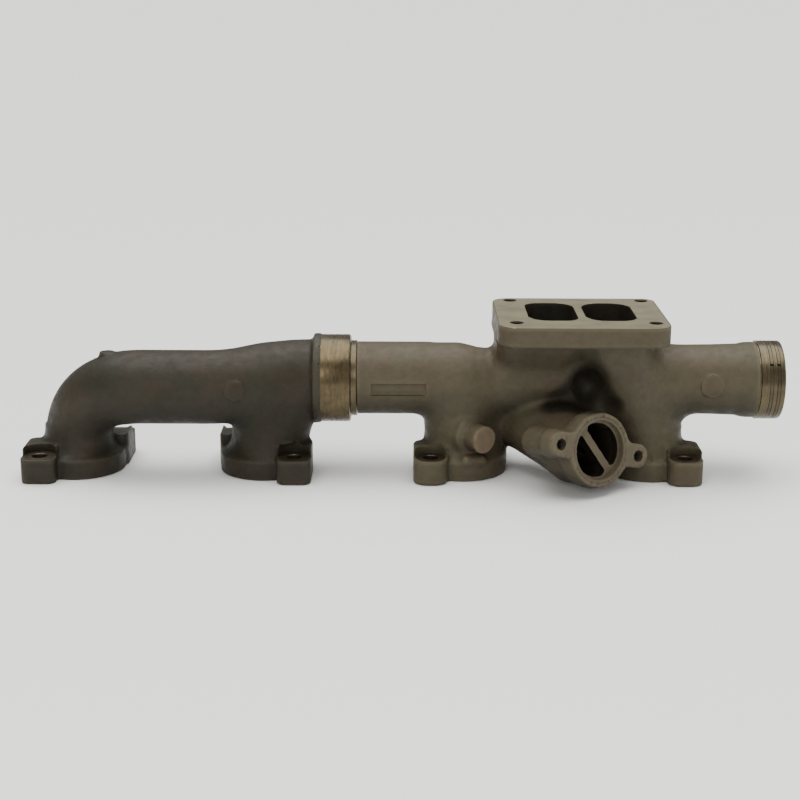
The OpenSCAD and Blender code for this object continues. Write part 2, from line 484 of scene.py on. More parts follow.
def crossings(value: np.ndarray, low: np.ndarray, step: float) -> tuple[np.ndarray, np.ndarray]:
    """The grid edges that the surface crosses.

    Args:
        value: Distances on the grid.
        low: First grid point.
        step: Spacing of the grid.

    Returns:
        The point where each edge is crossed, and the numbers of the four cells round the edge, in the
        order that points their face outwards.
    """
    spots, rings = [], []
    for axis in range(3):
        near = np.moveaxis(value, axis, 0)[:-1]
        far = np.moveaxis(value, axis, 0)[1:]
        crossed = np.argwhere((near < 0) != (far < 0))
        a, b = near[tuple(crossed.T)], far[tuple(crossed.T)]
        index = np.empty_like(crossed)
        index[:, axis] = crossed[:, 0]
        index[:, [i for i in range(3) if i != axis]] = crossed[:, 1:]
        spot = low + step * index
        spot[:, axis] += step * a / (a - b)
        around = []
        for back_u, back_w in ((1, 1), (0, 1), (0, 0), (1, 0)):
            cell = index.copy()
            cell[:, (axis + 1) % 3] -= back_u
            cell[:, (axis + 2) % 3] -= back_w
            around.append(np.ravel_multi_index(cell.T, value.shape))
        ring = np.stack(around, axis=1)
        spots.append(spot)
        rings.append(np.where((a < 0)[:, None], ring, ring[:, ::-1]))
    return np.concatenate(spots), np.concatenate(rings)


def fitted(spots: np.ndarray, normals: np.ndarray, owner: np.ndarray, total: int) -> np.ndarray:
    """One point per cell, nearest in least squares to the planes of the crossings on its edges.

    Formula: the middle of the crossings, moved by the solution of the planes' normal equations, with a
    little weight on staying at the middle, so that a flat cell has one answer.

    Args:
        spots: The crossings.
        normals: The surface's direction at each.
        owner: Number of each of the four cells round each crossing, one row after another.
        total: Number of cells.

    Returns:
        The points.
    """
    point, facing = np.repeat(spots, 4, axis=0), np.repeat(normals, 4, axis=0)

    def gathered(values: np.ndarray) -> np.ndarray:
        """Sums of the rows that fall to each cell."""
        return np.stack([np.bincount(owner, column, total) for column in values.T], axis=1)

    count = np.bincount(owner, minlength=total).astype(float)
    middle = gathered(point) / count[:, None]
    offset = (facing * (point - middle[owner])).sum(1)
    pull = gathered(facing * offset[:, None])
    spread = gathered((facing[:, :, None] * facing[:, None, :]).reshape(-1, 9)).reshape(-1, 3, 3)
    spread += np.eye(3) * STAY_WEIGHT * count[:, None, None]
    return middle + np.linalg.solve(spread, pull[:, :, None])[:, :, 0]


def skin_of(solid: Solid, low: Point, high: Point, step: float = GRID_STEP) -> Skin:
    """Zero level of a solid's distance, with its sharp edges kept.

    Formula: each grid edge that the surface crosses gives a point and a normal. Each cell's vertex is the
    point that lies nearest, in least squares, to the planes of its crossings, and each crossed edge gives
    the face between its four cells.

    Args:
        solid: The solid; the box must reach past it on all sides.
        low: Lowest corner of the box.
        high: Highest corner of the box.
        step: Spacing of the grid.

    Returns:
        The skin, with faces pointing outwards.
    """
    lowest = np.asarray(low, float)
    counts = np.ceil((np.asarray(high, float) - lowest) / step).astype(int) + 1
    spots, rings = crossings(sampled(solid, lowest, counts, step), lowest, step)
    spots -= slope(solid, spots) * solid(spots)[:, None]
    cells, owner = np.unique(rings, return_inverse=True)
    vertices = fitted(spots, slope(solid, spots), owner.ravel(), len(cells))
    corner = lowest + step * np.stack(np.unravel_index(cells, counts), axis=1)
    vertices = np.clip(vertices, corner - CELL_SLACK * step, corner + (1 + CELL_SLACK) * step)
    return Skin(vertices, owner.reshape(rings.shape))


def turned(profile: Sequence[Point], origin: Point, axis: Point, sides: int = 96) -> Skin:
    """Closed ring: a closed outline carried once round an axis.

    Formula: the point at angle t and station s is the origin, plus the axis times the station's place
    along it, plus the station's radius times (cosine t, sine t) across it.

    Args:
        profile: (place along the axis, radius) stations, in order round the outline.
        origin: Where places along the axis are counted from.
        axis: Direction of the axis.
        sides: Steps round the axis.

    Returns:
        The ring, with faces pointing outwards.
    """
    stations = np.asarray(profile, float)
    place, radius = stations.T
    if np.sum(place * np.roll(radius, -1) - np.roll(place, -1) * radius) > 0:
        stations = stations[::-1]
    along = unit(axis)
    across, up = square_to(along)
    angle = np.linspace(0.0, 2 * math.pi, sides, endpoint=False)
    spoke = np.cos(angle)[:, None] * across + np.sin(angle)[:, None] * up
    vertices = (
        np.asarray(origin, float)
        + stations[None, :, 0, None] * along
        + stations[None, :, 1, None] * spoke[:, None, :]
    )
    m = len(stations)
    i, j = np.meshgrid(np.arange(sides), np.arange(m), indexing="ij")
    next_i, next_j = (i + 1) % sides, (j + 1) % m
    faces = np.stack([i * m + j, i * m + next_j, next_i * m + next_j, next_i * m + j], axis=-1)
    return Skin(vertices.reshape(-1, 3), faces.reshape(-1, 4))


def square_to(along: np.ndarray) -> tuple[np.ndarray, np.ndarray]:
    """Two unit directions square to one another and to the given one."""
    across = unit(np.cross(UP if abs(along[2]) < 0.9 else ALONG, along))
    return across, np.cross(along, across)


# ---------------------------------------------------------------------------------------------
# Finishes
# ---------------------------------------------------------------------------------------------


class Board:
    """Short hand for a material's node tree."""

    def __init__(self, name: str) -> None:
        """Makes a material with a Principled shader wired to its output.

        Args:
            name: The material's name.
        """
        self.material = bpy.data.materials.new(name)
        self.material.use_nodes = True
        self.tree = self.material.node_tree
        self.tree.nodes.clear()
        self.shader = self.node("ShaderNodeBsdfPrincipled")
        output = self.node("ShaderNodeOutputMaterial")
        self.tree.links.new(self.shader.outputs["BSDF"], output.inputs["Surface"])
        self.place = self.node("ShaderNodeTexCoord").outputs["Object"]

    def node(self, kind: str, **settings: object) -> bpy.types.Node:
        """Adds a node.

        Args:
            kind: Its type's name.
            settings: Its properties.

        Returns:
            The node.
        """
        made = self.tree.nodes.new(kind)
        for key, value in settings.items():
            setattr(made, key, value)
        return made

    def feed(self, node: bpy.types.Node, values: dict[str | int, object]) -> bpy.types.Node:
        """Links a node's sockets to outputs, or sets their values.

        Args:
            node: The node.
            values: What each socket takes, by its name or place.

        Returns:
            The node.
        """
        for key, value in values.items():
            if isinstance(value, bpy.types.NodeSocket):
                self.tree.links.new(value, node.inputs[key])
            else:
                node.inputs[key].default_value = value
        return node

    def noise(self, size: float, detail: float, rough: float = 0.55, place: object = None) -> object:
        """Noise whose output runs from about 0.3 to 0.7.

        Args:
            size: Size of its lumps in metres.
            detail: How many finer layers it has.
            rough: Strength of the finer layers.
            place: Where it is read, the object's own coordinates if left out.

        Returns:
            Its output.
        """
        made = self.node("ShaderNodeTexNoise")
        settings = {"Vector": place or self.place, "Scale": 1.0 / size, "Detail": detail, "Roughness": rough}
        return self.feed(made, settings).outputs["Fac"]

    def stretched(self, scale: Point) -> object:
        """The place, scaled along each axis, for streaks."""
        made = self.node("ShaderNodeMapping")
        return self.feed(made, {"Vector": self.place, "Scale": scale}).outputs["Vector"]

    def ramp(
        self, value: object, low: float, high: float, at_low: float = 0.0, at_high: float = 1.0
    ) -> object:
        """A value's stretch, smoothed and carried onto another range.

        Args:
            value: The value.
            low: Where the stretch starts.
            high: Where it ends.
            at_low: Result at the start.
            at_high: Result at the end.

        Returns:
            The result.
        """
        made = self.node("ShaderNodeMapRange", interpolation_type="SMOOTHSTEP")
        ends = {"Value": value, "From Min": low, "From Max": high, "To Min": at_low, "To Max": at_high}
        return self.feed(made, ends).outputs["Result"]

    def times(self, a: object, b: object) -> object:
        """Two values multiplied."""
        return self.feed(self.node("ShaderNodeMath", operation="MULTIPLY"), {0: a, 1: b}).outputs[0]

    def mix(self, share: object, a: object, b: object) -> object:
        """Two colours mixed by share."""
        return self.feed(self.node("ShaderNodeMix", data_type="RGBA"), {0: share, 6: a, 7: b}).outputs[2]

    def attribute(self, name: str) -> object:
        """A vertex attribute's value."""
        return self.node("ShaderNodeAttribute", attribute_name=name).outputs["Fac"]

    def bump(self, height: object, depth: float, below: object = None) -> object:
        """Surface normal shaken by a pattern.

        Args:
            height: The pattern.
            depth: Its depth in metres.
            below: A normal that it is laid over.

        Returns:
            The normal.
        """
        made = self.feed(self.node("ShaderNodeBump"), {"Strength": 1.0, "Distance": depth, "Height": height})
        if below is not None:
            self.feed(made, {"Normal": below})
        return made.outputs["Normal"]


def paint(red: float, green: float, blue: float) -> Colour:
    """A display colour of 0 to 255 as linear light.

    Args:
        red: Level of red.
        green: Level of green.
        blue: Level of blue.

    Returns:
        The colour, with full cover.
    """

    def linear(level: float) -> float:
        """One level as linear light."""
        share = level / 255
        return share / 12.92 if share <= 0.04045 else ((share + 0.055) / 1.055) ** 2.4

    return linear(red), linear(green), linear(blue), 1.0


@dataclass(frozen=True)
class CastIron:
    """Sand-cast iron with a thin heat-coloured coat.

    Attributes:
        name: The material's name.
        coat: Usual colour.
        worn: Colour on the crowns, where the coat is thin.
        shade: Darker colour for the random mottling, and for the painted shade in the hollows.
        tint: Warm stain that drifts over the casting.
        soot_and_shade_colour: Colour of the soot in the passages, and of the painted shade on the undersides
            and on the walls of the shaded hollow.
        underside_shade: How strongly the undersides take that colour as painted shade.
        grain: Depth of the sand grain.
        swell: Depth of the wider unevenness under the grain.
        polish: Roughness of the coat.
    """

    name: str
    coat: Colour
    worn: Colour
    shade: Colour
    tint: Colour
    soot_and_shade_colour: Colour = paint(26, 23, 19)
    underside_shade: float = 0.7
    grain: float = 0.22 * MM
    swell: float = 0.35 * MM
    polish: float = 0.5

    def build(self) -> bpy.types.Material:
        """Wires the material.

        Returns:
            The material.
        """
        board = Board(self.name)
        drift = board.ramp(board.noise(45 * MM, 2.0), 0.38, 0.64)
        mottle = board.ramp(board.noise(6 * MM, 4.0), 0.35, 0.68)
        speck = board.ramp(board.noise(0.9 * MM, 2.0), 0.56, 0.72)
        crown = board.ramp(board.attribute("crown"), 0.15, 0.9)
        # Painted shade in concave corners and creases.
        hollow = board.ramp(board.attribute("hollow"), 0.1, 0.9)
        colour = self.coat
        # Of these layers, the hollow and underside layers are painted shade; the last holds soot in the
        # passages and painted shade in the pocket between the branches.
        for mask, strength, over in (
            (drift, 0.6, self.tint),
            (mottle, 0.22, self.shade),
            (crown, 0.55, self.worn),
            (speck, 0.18, self.worn),
            (hollow, 0.6, self.shade),
            (board.attribute("under"), self.underside_shade, self.soot_and_shade_colour),
            (board.attribute("soot_and_shade"), 0.85, self.soot_and_shade_colour),
        ):
            colour = board.mix(board.times(mask, strength), colour, over)
        rough = board.ramp(board.noise(9 * MM, 3.0), 0.3, 0.7, self.polish - 0.07, self.polish + 0.10)
        swell = board.bump(board.noise(7 * MM, 2.0), self.swell)
        grain = board.bump(board.noise(1.1 * MM, 3.0, 0.6), self.grain, swell)
        dull = {"Metallic": 0.1, "Specular IOR Level": 0.22}
        board.feed(board.shader, {"Base Color": colour, "Roughness": rough, "Normal": grain, **dull})
        return board.material


@dataclass(frozen=True)
class MachinedFace:
    """Milled or turned iron, dulled by heat, with fine tool lines.

    Attributes:
        name: The material's name.
        metal: Usual colour.
        stain: Darker colour of the stains.
        lines: Scale of the streaks along each axis; a large number packs the lines closely along it.
        polish: Roughness.
        grooves: Depth of the tool lines.
    """

    name: str
    metal: Colour
    stain: Colour
    lines: Point
    polish: float = 0.3
    grooves: float = 0.02 * MM

    def build(self) -> bpy.types.Material:
        """Wires the material.

        Returns:
            The material.
        """
        board = Board(self.name)
        streak = board.noise(1.0, 3.0, 0.6, board.stretched(self.lines))
        stain = board.ramp(board.noise(16 * MM, 4.0), 0.42, 0.68)
        colour = board.mix(board.times(stain, 0.5), self.metal, self.stain)
        colour = board.mix(board.times(board.ramp(streak, 0.4, 0.65), 0.22), colour, self.stain)
        rough = board.ramp(streak, 0.3, 0.7, self.polish - 0.08, self.polish + 0.12)
        lines = board.bump(streak, self.grooves)
        board.feed(board.shader, {"Base Color": colour, "Roughness": rough, "Normal": lines, "Metallic": 0.8})
        return board.material


class Finish(Enum):
    """The finishes of the manifold's surfaces."""

    END_CAST = CastIron(
        "end cast iron", paint(45, 43, 33), paint(66, 62, 49), paint(30, 28, 22), paint(56, 46, 36)
    )
    CENTRE_CAST = CastIron(
        "centre cast iron", paint(78, 73, 56), paint(98, 91, 70), paint(54, 50, 39), paint(82, 70, 56)
    )
    MILLED = MachinedFace(
        "milled turbo face", paint(158, 150, 122), paint(132, 124, 98), (40.0, 700.0, 40.0), 0.36
    )
    TURNED = MachinedFace("turned spigot", paint(92, 83, 63), paint(58, 50, 37), (900.0, 20.0, 20.0))
    GROUND = MachinedFace("ground collar", paint(92, 81, 58), paint(50, 42, 31), (420.0, 60.0, 60.0))
    SEAT = MachinedFace("spot face", paint(76, 67, 53), paint(50, 43, 34), (300.0, 300.0, 300.0), 0.42)
    RING = MachinedFace("ring steel", paint(84, 77, 61), paint(56, 49, 38), (900.0, 30.0, 30.0))
    OUTLET = CastIron(
        "outlet face", paint(88, 81, 64), paint(98, 91, 72), paint(66, 60, 48), paint(86, 77, 62),
        grain=0.08 * MM,
    )
    SAWN = CastIron(
        "sawn boss end", paint(108, 95, 77), paint(118, 104, 86), paint(84, 74, 60), paint(110, 94, 78),
        underside_shade=0.2,
    )
    THREAD = MachinedFace("tapped thread", paint(42, 34, 25), paint(28, 23, 18), (200.0, 200.0, 200.0), 0.5)
    CORE = CastIron("cored iron", paint(28, 25, 21), paint(40, 36, 29), paint(17, 16, 13), paint(30, 25, 20))

    @functools.cached_property
    def material(self) -> bpy.types.Material:
        """The finish's material, built once."""
        return self.value.build()


# ---------------------------------------------------------------------------------------------
# Pieces
# ---------------------------------------------------------------------------------------------


def piece(
    name: str,
    skin: Skin,
    body: str,
    finishes: Sequence[Finish],
    finish_of: np.ndarray | None = None,
    sharp: float = 38.0,
) -> bpy.types.Object:
    """Makes a mesh object of a skin, dresses it and lets it ride on a body.

    Args:
        name: The piece's name.
        skin: Its surface.
        body: The body that it moves with.
        finishes: Its finishes.
        finish_of: Index of each face's finish, all 0 if left out.
        sharp: Angle in degrees past which an edge is drawn sharp.

    Returns:
        The object.
    """
    mesh = bpy.data.meshes.new(name)
    mesh.vertices.add(len(skin.vertices))
    mesh.vertices.foreach_set("co", skin.vertices.astype(np.float32).ravel())
    mesh.loops.add(skin.faces.size)
    mesh.loops.foreach_set("vertex_index", skin.faces.astype(np.int32).ravel())
    mesh.polygons.add(len(skin.faces))
    mesh.polygons.foreach_set("loop_start", np.arange(0, skin.faces.size, 4, dtype=np.int32))
    for finish in finishes:
        mesh.materials.append(finish.material)
    if finish_of is not None:
        mesh.polygons.foreach_set("material_index", finish_of.astype(np.int32))
    mesh.polygons.foreach_set("use_smooth", np.ones(len(skin.faces), dtype=bool))
    mesh.update()
    mesh.validate()
    mesh.set_sharp_from_angle(angle=math.radians(sharp))
    made = bpy.data.objects.new(name, mesh)
    bpy.context.scene.collection.objects.link(made)
    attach(made, body)
    LOG.info("%s: %d vertices, %d faces", name, len(skin.vertices), len(skin.faces))
    return made


def add_shading(
    made: bpy.types.Object, skin: Skin, solid: Solid, passages: Solid, shaded_hollow: Solid | None = None
) -> None:
    """Writes the attributes that the cast finish reads: crown, hollow, soot_and_shade and under.

    Formula: crown and hollow come from the mean of the distances on all sides of a vertex, which is
    nothing on a flat, more over a crown and less in a hollow; hollow paints shade into concave corners.
    Soot_and_shade is soot that grows with the depth inside the passages' mouths, and painted shade on the
    walls of the shaded hollow. Under is how far the surface faces down; it paints shade on the undersides.

    Args:
        made: The piece.
        skin: Its surface.
        solid: The field that the surface came from.
        passages: The gas passages.
        shaded_hollow: A hollow whose walls take painted shade through soot_and_shade, fading over a few
            millimetres round it.
    """
    # stain is the strength of the painted shade on the shaded hollow's walls; upright sets where the painted
    # underside shade starts.
    gain, stain, fade, lining, upright = 0.55, 0.95, 6 * MM, 0.6 * MM, 0.12
    shifts = np.concatenate([-np.eye(3), np.eye(3)]) * CURVE_REACH
    curve = sum(solid(skin.vertices + shift) for shift in shifts) / CURVE_REACH * gain
    soot_and_shade = np.clip(-(passages(skin.vertices) - lining) / lining, 0.0, 1.0)
    # Painted shade on the walls of the shaded hollow, in the same attribute as the soot.
    if shaded_hollow is not None:
        soot_and_shade = np.maximum(soot_and_shade, stain * np.clip((fade - shaded_hollow(skin.vertices)) / fade, 0.0, 1.0))
    # Painted shade on the undersides, darker the more the surface faces down.
    under = upright - slope(solid, skin.vertices)[:, 2]
    for name, value in (("crown", curve), ("hollow", -curve), ("soot_and_shade", soot_and_shade), ("under", under)):
        levels = np.clip(value, 0.0, 1.0).astype(np.float32)
        made.data.attributes.new(name, "FLOAT", "POINT").data.foreach_set("value", levels)


@dataclass
class PortFlange:
    """Flange round an exhaust port, with a bolt lug on each end of a diagonal.

    Attributes:
        x: Place of the port along the log.
        hand: 1 puts the front lug towards -X, -1 towards +X.
        neck: Radius of the neck that rises from it.
        nose: Corner radius of the lugs' ends.
        radius: Radius of the round rim.
        thick: Height of the rim.
        shoulder_top: Height at which the cone over the rim ends on the neck.
        shoulder_inset: How far the cone's foot lies inside the rim.
        rim: Rounding of the cast edges.
        lug: Place of a bolt from the port, along and across the log.
        lug_radius: Half the width of a lug, and its reach past the bolt.
        lug_height: Height of a lug.
        seat: Height of the spot faces.
        seat_radius: Radius of the spot faces.
        facer: Radius of the spot facer, and half the height that it clears.
        facer_run: Half the width, and the two ends, of the facer's run out over the nose.
        hole_radius: Radius of the bolt holes.
        chamfer: Chamfer of the bolt holes.
        liner: Thickness of the bolt holes' walls.
    """

    x: float
    hand: int
    neck: float
    nose: float
    radius: float = 38.0 * MM
    thick: float = 15.5 * MM
    shoulder_top: float = 38.0 * MM
    shoulder_inset: float = 0.8 * MM
    rim: float = 1.6 * MM
    lug: Point = mm(26.5, 36.5)
    lug_radius: float = 14.5 * MM
    lug_height: float = 27.0 * MM
    seat: float = 20.5 * MM
    seat_radius: float = 12.35 * MM
    facer: Point = mm(13.2, 4.5)
    facer_run: Point = mm(16, -1, 20)
    hole_radius: float = 6.25 * MM
    chamfer: float = 0.7 * MM
    liner: float = 1.2 * MM

    def bolts(self) -> list[np.ndarray]:
        """Foot of each bolt's axis, front one first."""
        along, across = self.lug
        return [np.array([self.x + side * self.hand * along, side * across, 0.0]) for side in (-1, 1)]

    def shoulder(self) -> Solid:
        """The hollow-sided cone from the flange's rim up to the neck.

        Formula: the radius is the neck's, plus the rim's excess times the square of what is left of the
        way up. The gap measured straight out is scaled down, because the cone leans.

        Returns:
            The cone.
        """
        lean = 0.8
        excess, half = self.radius - self.shoulder_inset - self.neck, self.shoulder_top / 2

        def distance(points: np.ndarray) -> np.ndarray:
            """Distances of the points."""
            left = 1.0 - np.clip((points[:, 2] - self.thick) / (self.shoulder_top - self.thick), 0.0, 1.0)
            out = np.hypot(points[:, 0] - self.x, points[:, 1]) - self.neck - excess * left**2
            return np.maximum(out * lean, np.abs(points[:, 2] - half) - half)

        return Solid(distance)

    def body(self) -> Solid:
        """The cast flange, without its holes.

        Returns:
            The flange.
        """
        half, lug = self.thick / 2, self.lug_radius
        whole = disc((self.x, 0, half), UP, self.radius, half, self.rim).join(self.shoulder(), 5)
        for bolt in self.bolts():
            out = math.copysign(1.0, bolt[1])
            front, back = sorted((4 * MM * out, bolt[1] + lug * out))
            low, high = (bolt[0] - lug, front, 0), (bolt[0] + lug, back, self.lug_height)
            whole = whole.join(plate(low, high, Corners.even(self.nose), self.rim), 4)
        return whole

    def holes(self) -> Solid:
        """What the drill and the spot facer take away; the facer runs out over the lug's nose.

        Returns:
            The holes.
        """
        taken, edge = [], 0.3 * MM
        (radius, half), (width, *ends) = self.facer, self.facer_run
        level = self.seat - 0.1 * MM
        for bolt in self.bolts():
            front, back = sorted(end * math.copysign(1.0, bolt[1]) for end in ends)
            taken.append(disc(bolt, UP, self.hole_radius + self.liner / 2, 30 * MM))
            taken.append(disc(bolt + (0, 0, level + half), UP, radius, half, edge))
            low, high = bolt + (-width, front, level), bolt + (width, back, level + 2 * half)
            taken.append(plate(low, high, Corners.even(0.5 * MM), edge))
        return union(taken)

    def seats(self, name: str, body: str, slot: str) -> None:
        """Makes the machined seat and hole wall at each bolt.

        Args:
            name: Start of the pieces' names.
            body: The body that they ride on.
            slot: Not used.
        """
        bore, wide, outside = self.hole_radius, self.hole_radius + self.chamfer, self.hole_radius + self.liner
        foot, skirt = 0.05 * MM, self.seat - 0.8 * MM
        profile = [
            (foot, wide), (self.chamfer, bore), (self.seat - self.chamfer, bore), (self.seat, wide),
            (self.seat, self.seat_radius), (skirt, self.seat_radius), (skirt, outside), (foot, outside),
        ]
        for number, bolt in enumerate(self.bolts(), 1):
            piece(f"{name}_bolt_seat_{number}", turned(profile, bolt, UP, 64), body, [Finish.SEAT])


@dataclass
class Spigot:
    """Machined spigot with two ring grooves.

    Attributes:
        tip: Place of its open end along the log.
        outward: 1 if it opens towards +X, -1 towards -X.
        length: Length of the machined part.
        axis_z: Height of its axis.
        land: Radius of the lands.
        shoulder: Radius of the turned neck behind them.
        bore: Radius of the opening.
        groove_depth: Depth of a groove.
        groove_width: Width of a groove.
        tip_land: Length of the land at the tip.
        mid_land: Length of the land between the grooves.
        root_land: Length of the land behind them.
        nick: Chamfer of the grooves' edges.
    """

    tip: float
    outward: int
    length: float
    axis_z: float = 80.0 * MM
    land: float = 33.4 * MM
    shoulder: float = 32.2 * MM
    bore: float = 24.3 * MM
    groove_depth: float = 3.2 * MM
    groove_width: float = 2.6 * MM
    tip_land: float = 4.4 * MM
    mid_land: float = 3.5 * MM
    root_land: float = 7.4 * MM
    nick: float = 0.25 * MM

    def grooves(self) -> list[float]:
        """Middle of each groove, counted inwards from the tip, outer one first."""
        first = self.tip_land + self.groove_width / 2
        return [first, first + self.groove_width + self.mid_land]

    def build(self, name: str, body: str, slot: str) -> bpy.types.Object:
        """Makes the lands, grooves, mouth and the start of the bore.

        Args:
            name: The piece's name.
            body: The body that it rides on.
            slot: Not used.

        Returns:
            The spigot.
        """
        land, root, neck, nick = self.land, self.land - self.groove_depth, self.shoulder, self.nick
        foot = -self.length - 1 * MM
        land_end = -(self.tip_land + 2 * self.groove_width + self.mid_land + self.root_land)
        outline = [
            (foot, root), (foot + 0.8 * MM, neck - 0.5 * MM), (foot + 1.4 * MM, neck),
            (land_end - 0.4 * MM, neck), (land_end, neck + 0.05 * MM), (land_end + 0.5 * MM, land),
        ]
        for middle in reversed(self.grooves()):
            back, front = -middle - self.groove_width / 2, -middle + self.groove_width / 2
            outline += [(back - nick, land), (back, land - nick), (back, root)]
            outline += [(front, root), (front, land - nick), (front + nick, land)]
        outline += [
            (-1.5 * MM, land), (-0.4 * MM, land - 0.5 * MM), (0.0, land - 1.3 * MM),
            (0.0, self.bore + 1 * MM), (-1 * MM, self.bore), (foot, self.bore),
        ]
        skin = turned(outline, (self.tip, 0.0, self.axis_z), (self.outward, 0, 0), 160)
        return piece(name, skin, body, [Finish.TURNED], sharp=30)


@dataclass
class SplitRing:
    """Piston-type sealing ring with a cut, lying in a spigot's groove.

    Attributes:
        spigot: The spigot.
        groove: Which groove, 0 for the outer one.
        gap_angle: Where the cut is, in degrees round the log from +Y towards +Z.
        gap: Width of the cut.
        clearance: Room on each side of the ring in its groove.
        nick: Chamfer of its edges.
        sides: Steps round the ring.
    """

    spigot: Spigot
    groove: int
    gap_angle: float = 144.0
    gap: float = 1.6 * MM
    clearance: float = 0.05 * MM
    nick: float = 0.2 * MM
    sides: int = 144

    def section(self) -> np.ndarray:
        """The eight-cornered section, as (place along the axis, radius) corners.

        Returns:
            The corners.
        """
        outer, nick = self.spigot.land, self.nick
        inner = outer - self.spigot.groove_depth + 2 * self.clearance
        half = self.spigot.groove_width / 2 - self.clearance
        return np.array([
            (-half + nick, outer), (half - nick, outer), (half, outer - nick), (half, inner + nick),
            (half - nick, inner), (-half + nick, inner), (-half, inner + nick), (-half, outer - nick),
        ])

    def build(self, name: str, body: str) -> bpy.types.Object:
        """Makes the ring.

        Formula: the section carried round the log's axis from one side of the cut to the other.

        Args:
            name: The piece's name.
            body: The body that it rides on.

        Returns:
            The ring.
        """
        section, sides = self.section(), self.sides
        half_cut = self.gap / self.spigot.land / 2
        start = math.radians(self.gap_angle)
        angle = np.linspace(start + half_cut, start + 2 * math.pi - half_cut, sides)
        vertices = np.empty((sides, 8, 3))
        vertices[..., 0] = self.spigot.tip - self.spigot.outward * self.spigot.grooves()[self.groove]
        vertices[..., 0] += section[None, :, 0]
        vertices[..., 1] = np.cos(angle)[:, None] * section[None, :, 1]
        vertices[..., 2] = self.spigot.axis_z + np.sin(angle)[:, None] * section[None, :, 1]
        i, j = np.meshgrid(np.arange(sides - 1), np.arange(8), indexing="ij")
        after = (j + 1) % 8
        walls = np.stack([i * 8 + j, (i + 1) * 8 + j, (i + 1) * 8 + after, i * 8 + after], axis=-1)
        cap = np.array([(0, 1, 2, 7), (7, 2, 3, 6), (6, 3, 4, 5)])
        faces = np.concatenate([walls.reshape(-1, 4), cap, (sides - 1) * 8 + cap[:, ::-1]])
        return piece(name, Skin(vertices.reshape(-1, 3), faces), body, [Finish.RING], sharp=30)


@dataclass(frozen=True)
class Pad:
    """Plain round pad raised on the front of a cast tube, in millimetres.

    Attributes:
        at: Its middle.
        radius: Its radius.
        height: How far it stands above the tube.
    """

    at: Point
    radius: float
    height: float

    def on(self, base: Solid) -> Solid:
        """Works out the pad: the part of a short plug that lies under a raised copy of the tube's surface.

        Args:
            base: The tube.

        Returns:
            The pad.
        """
        plug = disc(mm(*self.at), ACROSS, self.radius * MM, 9 * MM)
        return Solid(lambda points: base(points) - self.height * MM).within(plug)


